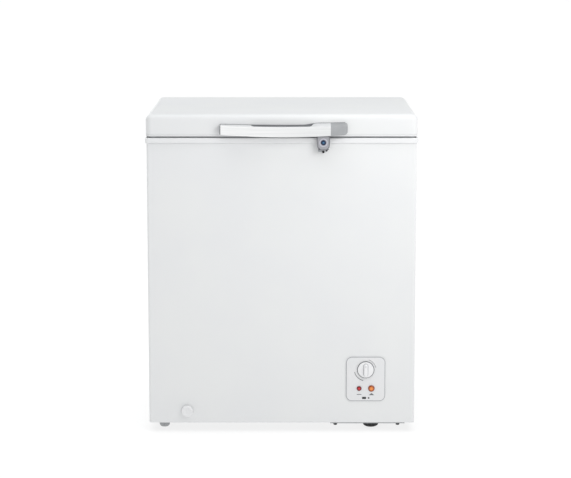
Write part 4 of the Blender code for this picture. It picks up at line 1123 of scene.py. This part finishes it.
def footShape(node, collar):
    # straight neck, rounded in to a flat sole with a shallow groove round it
    low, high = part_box(node)
    centre, radius = middleOf(node)
    tall, sole = high.z - low.z, footLook["sole"]
    curved = tall * footLook["curved"]
    profile = [(0, tall), (radius * collar, tall), (radius * collar, tall - 3 * mm),
               (radius - 0.8 * mm, tall - 4 * mm), (radius, tall - 5 * mm)]
    turns = [math.radians(a) for a in range(0, 91, 10)]
    profile += [(sole + (radius - sole) * math.cos(a), curved * (1 - math.sin(a)))
                for a in turns]
    profile += [(sole * 0.7, 0), (sole * 0.6, 0.5 * mm), (0, 0.5 * mm)]
    return spunShape(profile, (centre.x, centre.y, low.z), "+Z", 56)


boltLook = {"shank": 2.7 * mm, "washer": 0.6 * mm, "washerThick": 1.0 * mm, "gap": 0.4 * mm}


def boltShape(node):
    # hexagon head and washer under the base plate, shank up through it
    low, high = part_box(node)
    centre, radius = middleOf(node)
    spot = (centre.x, centre.y, low.z)
    tall, shank = high.z - low.z, boltLook["shank"]
    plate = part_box("compressor_base_plate")[0].z - low.z - boltLook["gap"]
    head = plate - boltLook["washerThick"]
    washer = radius + boltLook["washer"]
    return mergeShapes([
        spunShape([(0, 0), (radius - 0.8 * mm, 0), (radius, 0.7 * mm), (radius, head),
                   (0, head)], spot, "+Z", 6),
        spunShape([(0, plate + 0.3 * mm), (radius, plate + 0.3 * mm), (washer, plate),
                   (washer, head), (0, head)], spot, "+Z", 32),
        spunShape([(0, tall), (shank - 0.7 * mm, tall), (shank, tall - mm), (shank, 2 * mm),
                   (0, 2 * mm)], spot, "+Z", 20)])


def buildFeetAndBolts():
    corners = [(row, column) for row in ("front", "rear") for column in ("left", "right")]
    for row, column in corners:
        finish, slot, collar = footLook[column]
        node = f"foot_{row}_{column}"
        makePiece(f"{row}{column.capitalize()}Foot", footShape(node, collar), "cabinet", finish,
                  [node], 40)
    for row, column in corners:
        node = f"base_bolt_{row}_{column}"
        makePiece(f"{row}{column.capitalize()}Bolt", boltShape(node), "cabinet", "enamel", [node],
                  30)


buildFeetAndBolts()
print("feet built")


# grip: width, length, depth under the rim and height over it
basketLook = {"rimWire": 1.54 * mm, "meshWire": 1.15 * mm, "hookWire": 1.6 * mm, "pitch": 25 * mm,
              "corner": 14 * mm, "taper": 11 * mm, "levels": 7, "ledge": 13 * mm,
              "hookIn": 30 * mm, "grip": (6.4 * mm, 70 * mm, 3.2 * mm, 2.0 * mm)}


def wirePiece(name, runs, radius, body, finish, replaced=(), cyclic=False):
    # round wires along runs of points, made into one mesh
    curve = bpy.data.curves.new(name, "CURVE")
    curve.dimensions = "3D"
    curve.bevel_depth = radius
    curve.bevel_resolution = 3
    curve.use_fill_caps = True
    for run in runs:
        spline = curve.splines.new("POLY")
        spline.points.add(len(run) - 1)
        for point, place in zip(spline.points, run):
            point.co = (*place, 1)
        spline.use_cyclic_u = cyclic
    holder = bpy.data.objects.new(name + "Curve", curve)
    bpy.context.scene.collection.objects.link(holder)
    bpy.context.view_layer.update()
    shown = holder.evaluated_get(bpy.context.evaluated_depsgraph_get())
    mesh = bpy.data.meshes.new_from_object(shown)
    bpy.data.objects.remove(holder, do_unlink=True)
    bm = bmesh.new()
    bm.from_mesh(mesh)
    bpy.data.meshes.remove(mesh)
    bmesh.ops.remove_doubles(bm, verts=bm.verts, dist=0.01 * mm)
    return makePiece(name, bm, body, finish, replaced, 60)


def basketPoint(t, low, high):
    # corners of the basket's plan and its level at t, 0 at the floor and 1 at the rim
    shrink = Vector((1, 1, 0)) * basketLook["taper"] * (1 - t)
    return low + shrink, high - shrink, low.z + (high.z - low.z) * t


def basketStraights(low, high):
    # wires down one side, under the floor and up the other, both ways across
    corner = basketLook["corner"] + basketLook["taper"]
    runs = []
    for axis in (0, 1):
        start, end = low[axis] + corner, high[axis] - corner
        count = round((end - start) / basketLook["pitch"])
        for i in range(count + 1):
            path = []
            for t in (1, 0.5, 0.08, 0.0):
                nearLow, _, level = basketPoint(t, low, high)
                point = Vector((0, 0, level))
                point[axis] = start + (end - start) * i / count
                point[1 - axis] = nearLow[1 - axis] + (4 * mm if t == 0.0 else 0)
                path.append(point)
            far = [point.copy() for point in path[::-1]]
            for point in far:
                point[1 - axis] = low[1 - axis] + high[1 - axis] - point[1 - axis]
            runs.append(path + far)
    return runs


def buildBasket():
    low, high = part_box("storage_basket")
    rail = basketLook["hookWire"]
    inside = Vector((rail, basketLook["ledge"], rail))
    bodyLow, bodyHigh = low + inside, high - inside
    rings = []
    for level in range(basketLook["levels"] + 1):
        a, b, z = basketPoint(level / basketLook["levels"], bodyLow, bodyHigh)
        rings.append([(x, y, z) for x, y in roundedOutline(a, b, basketLook["corner"], 0, 6)])
    hooks = []  # hanging rails along the front and the back
    left, right = bodyLow.x + basketLook["hookIn"], bodyHigh.x - basketLook["hookIn"]
    for y, edge in ((low.y + rail, bodyLow.y), (high.y - rail, bodyHigh.y)):
        hooks.append([(x, v, bodyHigh.z) for x, v in ((left, edge), (left, y), (right, y),
                                                      (right, edge))])
    mesh = basketLook["meshWire"]
    for name, runs, radius, replaced, closed in (
            ("basketRings", rings[:-1], mesh, ["storage_basket"], True),
            ("basketWires", basketStraights(bodyLow, bodyHigh), mesh, (), False),
            ("basketRim", rings[-1:], basketLook["rimWire"], (), True),
            ("basketHooks", hooks, rail, (), False)):
        wirePiece(name, runs, radius, "basket", "coatedWire", replaced, closed)
    wide, long, deep, tall = basketLook["grip"]
    grips = []
    for x in (bodyLow.x, bodyHigh.x):
        y = (low.y + high.y) / 2
        grip = blockShape((x - wide / 2, y - long / 2, bodyHigh.z - deep),
                          (x + wide / 2, y + long / 2, bodyHigh.z + tall))
        roundEdges(grip, sharpEdges(grip, 60), 2.0 * mm, 4)
        grips.append(grip)
    makePiece("basketGrips", mergeShapes(grips), "basket", "absSilver", (), 40)


buildBasket()
print("basket built")


# screws: millimetres across from the bracket's middle, up from its foot, down from the leaf's top
hingeLook = {"wire": 1.1 * mm, "clear": 1.2 * mm, "turns": 6, "plate": 1.5 * mm,
             "bracketScrews": ((-12, 14), (-12, 46), (12, 14), (12, 46)), "leafScrews": (8, 22)}


def buildHinges():
    clear, turns, plate = hingeLook["clear"], hingeLook["turns"], hingeLook["plate"]
    for side in ("left", "right"):
        spring, bracket = f"hinge_spring_{side}", f"hinge_bracket_{side}"
        low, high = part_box(spring)
        axis = middleOf(f"hinge_pin_{side}")[0]
        radius = (high.z - low.z) / 2 - clear
        run = []
        for i in range(turns * 20 + 1):
            angle = 2 * math.pi * i / 20
            along = low.x + clear + (high.x - low.x - 2 * clear) * i / (turns * 20)
            run.append((along, axis.y + radius * math.cos(angle),
                        axis.z + radius * math.sin(angle)))
        wirePiece(f"{side}HingeSpring", [run], hingeLook["wire"], "cabinet", "spring", [spring])
        low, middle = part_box(bracket)[0], middleOf(bracket)[0].x
        screws = [screwShape((middle + x * mm, low.y + plate, low.z + z * mm), "+Y")
                  for x, z in hingeLook["bracketScrews"]]
        makePiece(f"{side}BracketScrews", mergeShapes(screws), "cabinet", "zinc")
        low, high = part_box(f"hinge_leaf_{side}")
        screws = [screwShape(((low.x + high.x) / 2, low.y + plate, high.z - z * mm), "+Y")
                  for z in hingeLook["leafScrews"]]
        makePiece(f"{side}LeafScrews", mergeShapes(screws), "lid", "zinc")


coverLook = {"rows": 9, "first": 60 * mm, "pitch": 18 * mm, "side": 22 * mm, "hood": 3.4 * mm,
             "hoodTall": 6.5 * mm, "screwIn": (8 * mm, 10 * mm), "screw": 3.4 * mm}


def buildMachineCover():
    # louvres pressed out of the cover as small hoods over the slots
    low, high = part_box("machine_cover")
    hood, tall = coverLook["hood"], coverLook["hoodTall"]
    turns = [math.radians(a) for a in range(15, 90, 15)]
    section = [(0.2 * mm, tall)]
    section += [(hood * math.sin(a) + 0.2 * mm, tall * math.cos(a) ** 0.8) for a in turns]
    section += [(3.6 * mm, -2.8 * mm), (2.8 * mm, -2.8 * mm), (2.6 * mm, 0.0),
                (1.6 * mm, 3.4 * mm), (0.2 * mm, 5.4 * mm)]
    left, right = low.x + coverLook["side"], high.x - coverLook["side"]
    hoods = []
    for row in range(coverLook["rows"]):
        z = low.z + coverLook["first"] + row * coverLook["pitch"]
        hoods.append(loftShape([[(x, high.y + y * flat, z + v) for y, v in section]
                                for x, flat in ((left, 0.12), (left + 3 * mm, 1.0),
                                                (right - 3 * mm, 1.0), (right, 0.12))]))
    makePiece("coverLouvres", mergeShapes(hoods), "cabinet", "steel", (), 40)
    inX, inZ = coverLook["screwIn"]
    screws = [screwShape((x, high.y, z), "+Y", coverLook["screw"])
              for x in (low.x + inX, high.x - inX) for z in (low.z + inZ, high.z - inZ)]
    makePiece("coverScrews", mergeShapes(screws), "cabinet", "zinc")


buildHinges()
buildMachineCover()
print("back built")


carried = {
    "steel": ["back_panel", "machine_cover"],
    "zinc": ["base_panel", "compressor_base_plate", "lock_cam", "lock_keeper",
             "hinge_bracket_left", "hinge_bracket_right", "hinge_leaf_left", "hinge_leaf_right",
             "hinge_pin_left", "hinge_pin_right"],
    "foam": ["cabinet_foam", "lid_foam"],
    "copper": ["evaporator_coil", "condenser_coil", "filter_dryer", "suction_pipe",
               "discharge_pipe", "capillary_pipe"],
    "enamel": ["compressor_shell", "compressor_foot_plate"],
    "iron": ["compressor_motor"],
    "rubber": ["relay_cover", "cord_inlet", "compressor_mount_front_left",
               "compressor_mount_front_right", "compressor_mount_rear_left",
               "compressor_mount_rear_right"],
    "absCream": ["thermostat"],
    "absWhite": ["drain_tube", "drain_spout"],
    "seal": ["drain_plug"],
}


def dressCarried():
    for finish, nodes in carried.items():
        for node in nodes:
            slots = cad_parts[node].data.materials
            slots.clear()
            slots.append(finishes[finish])


dressCarried()
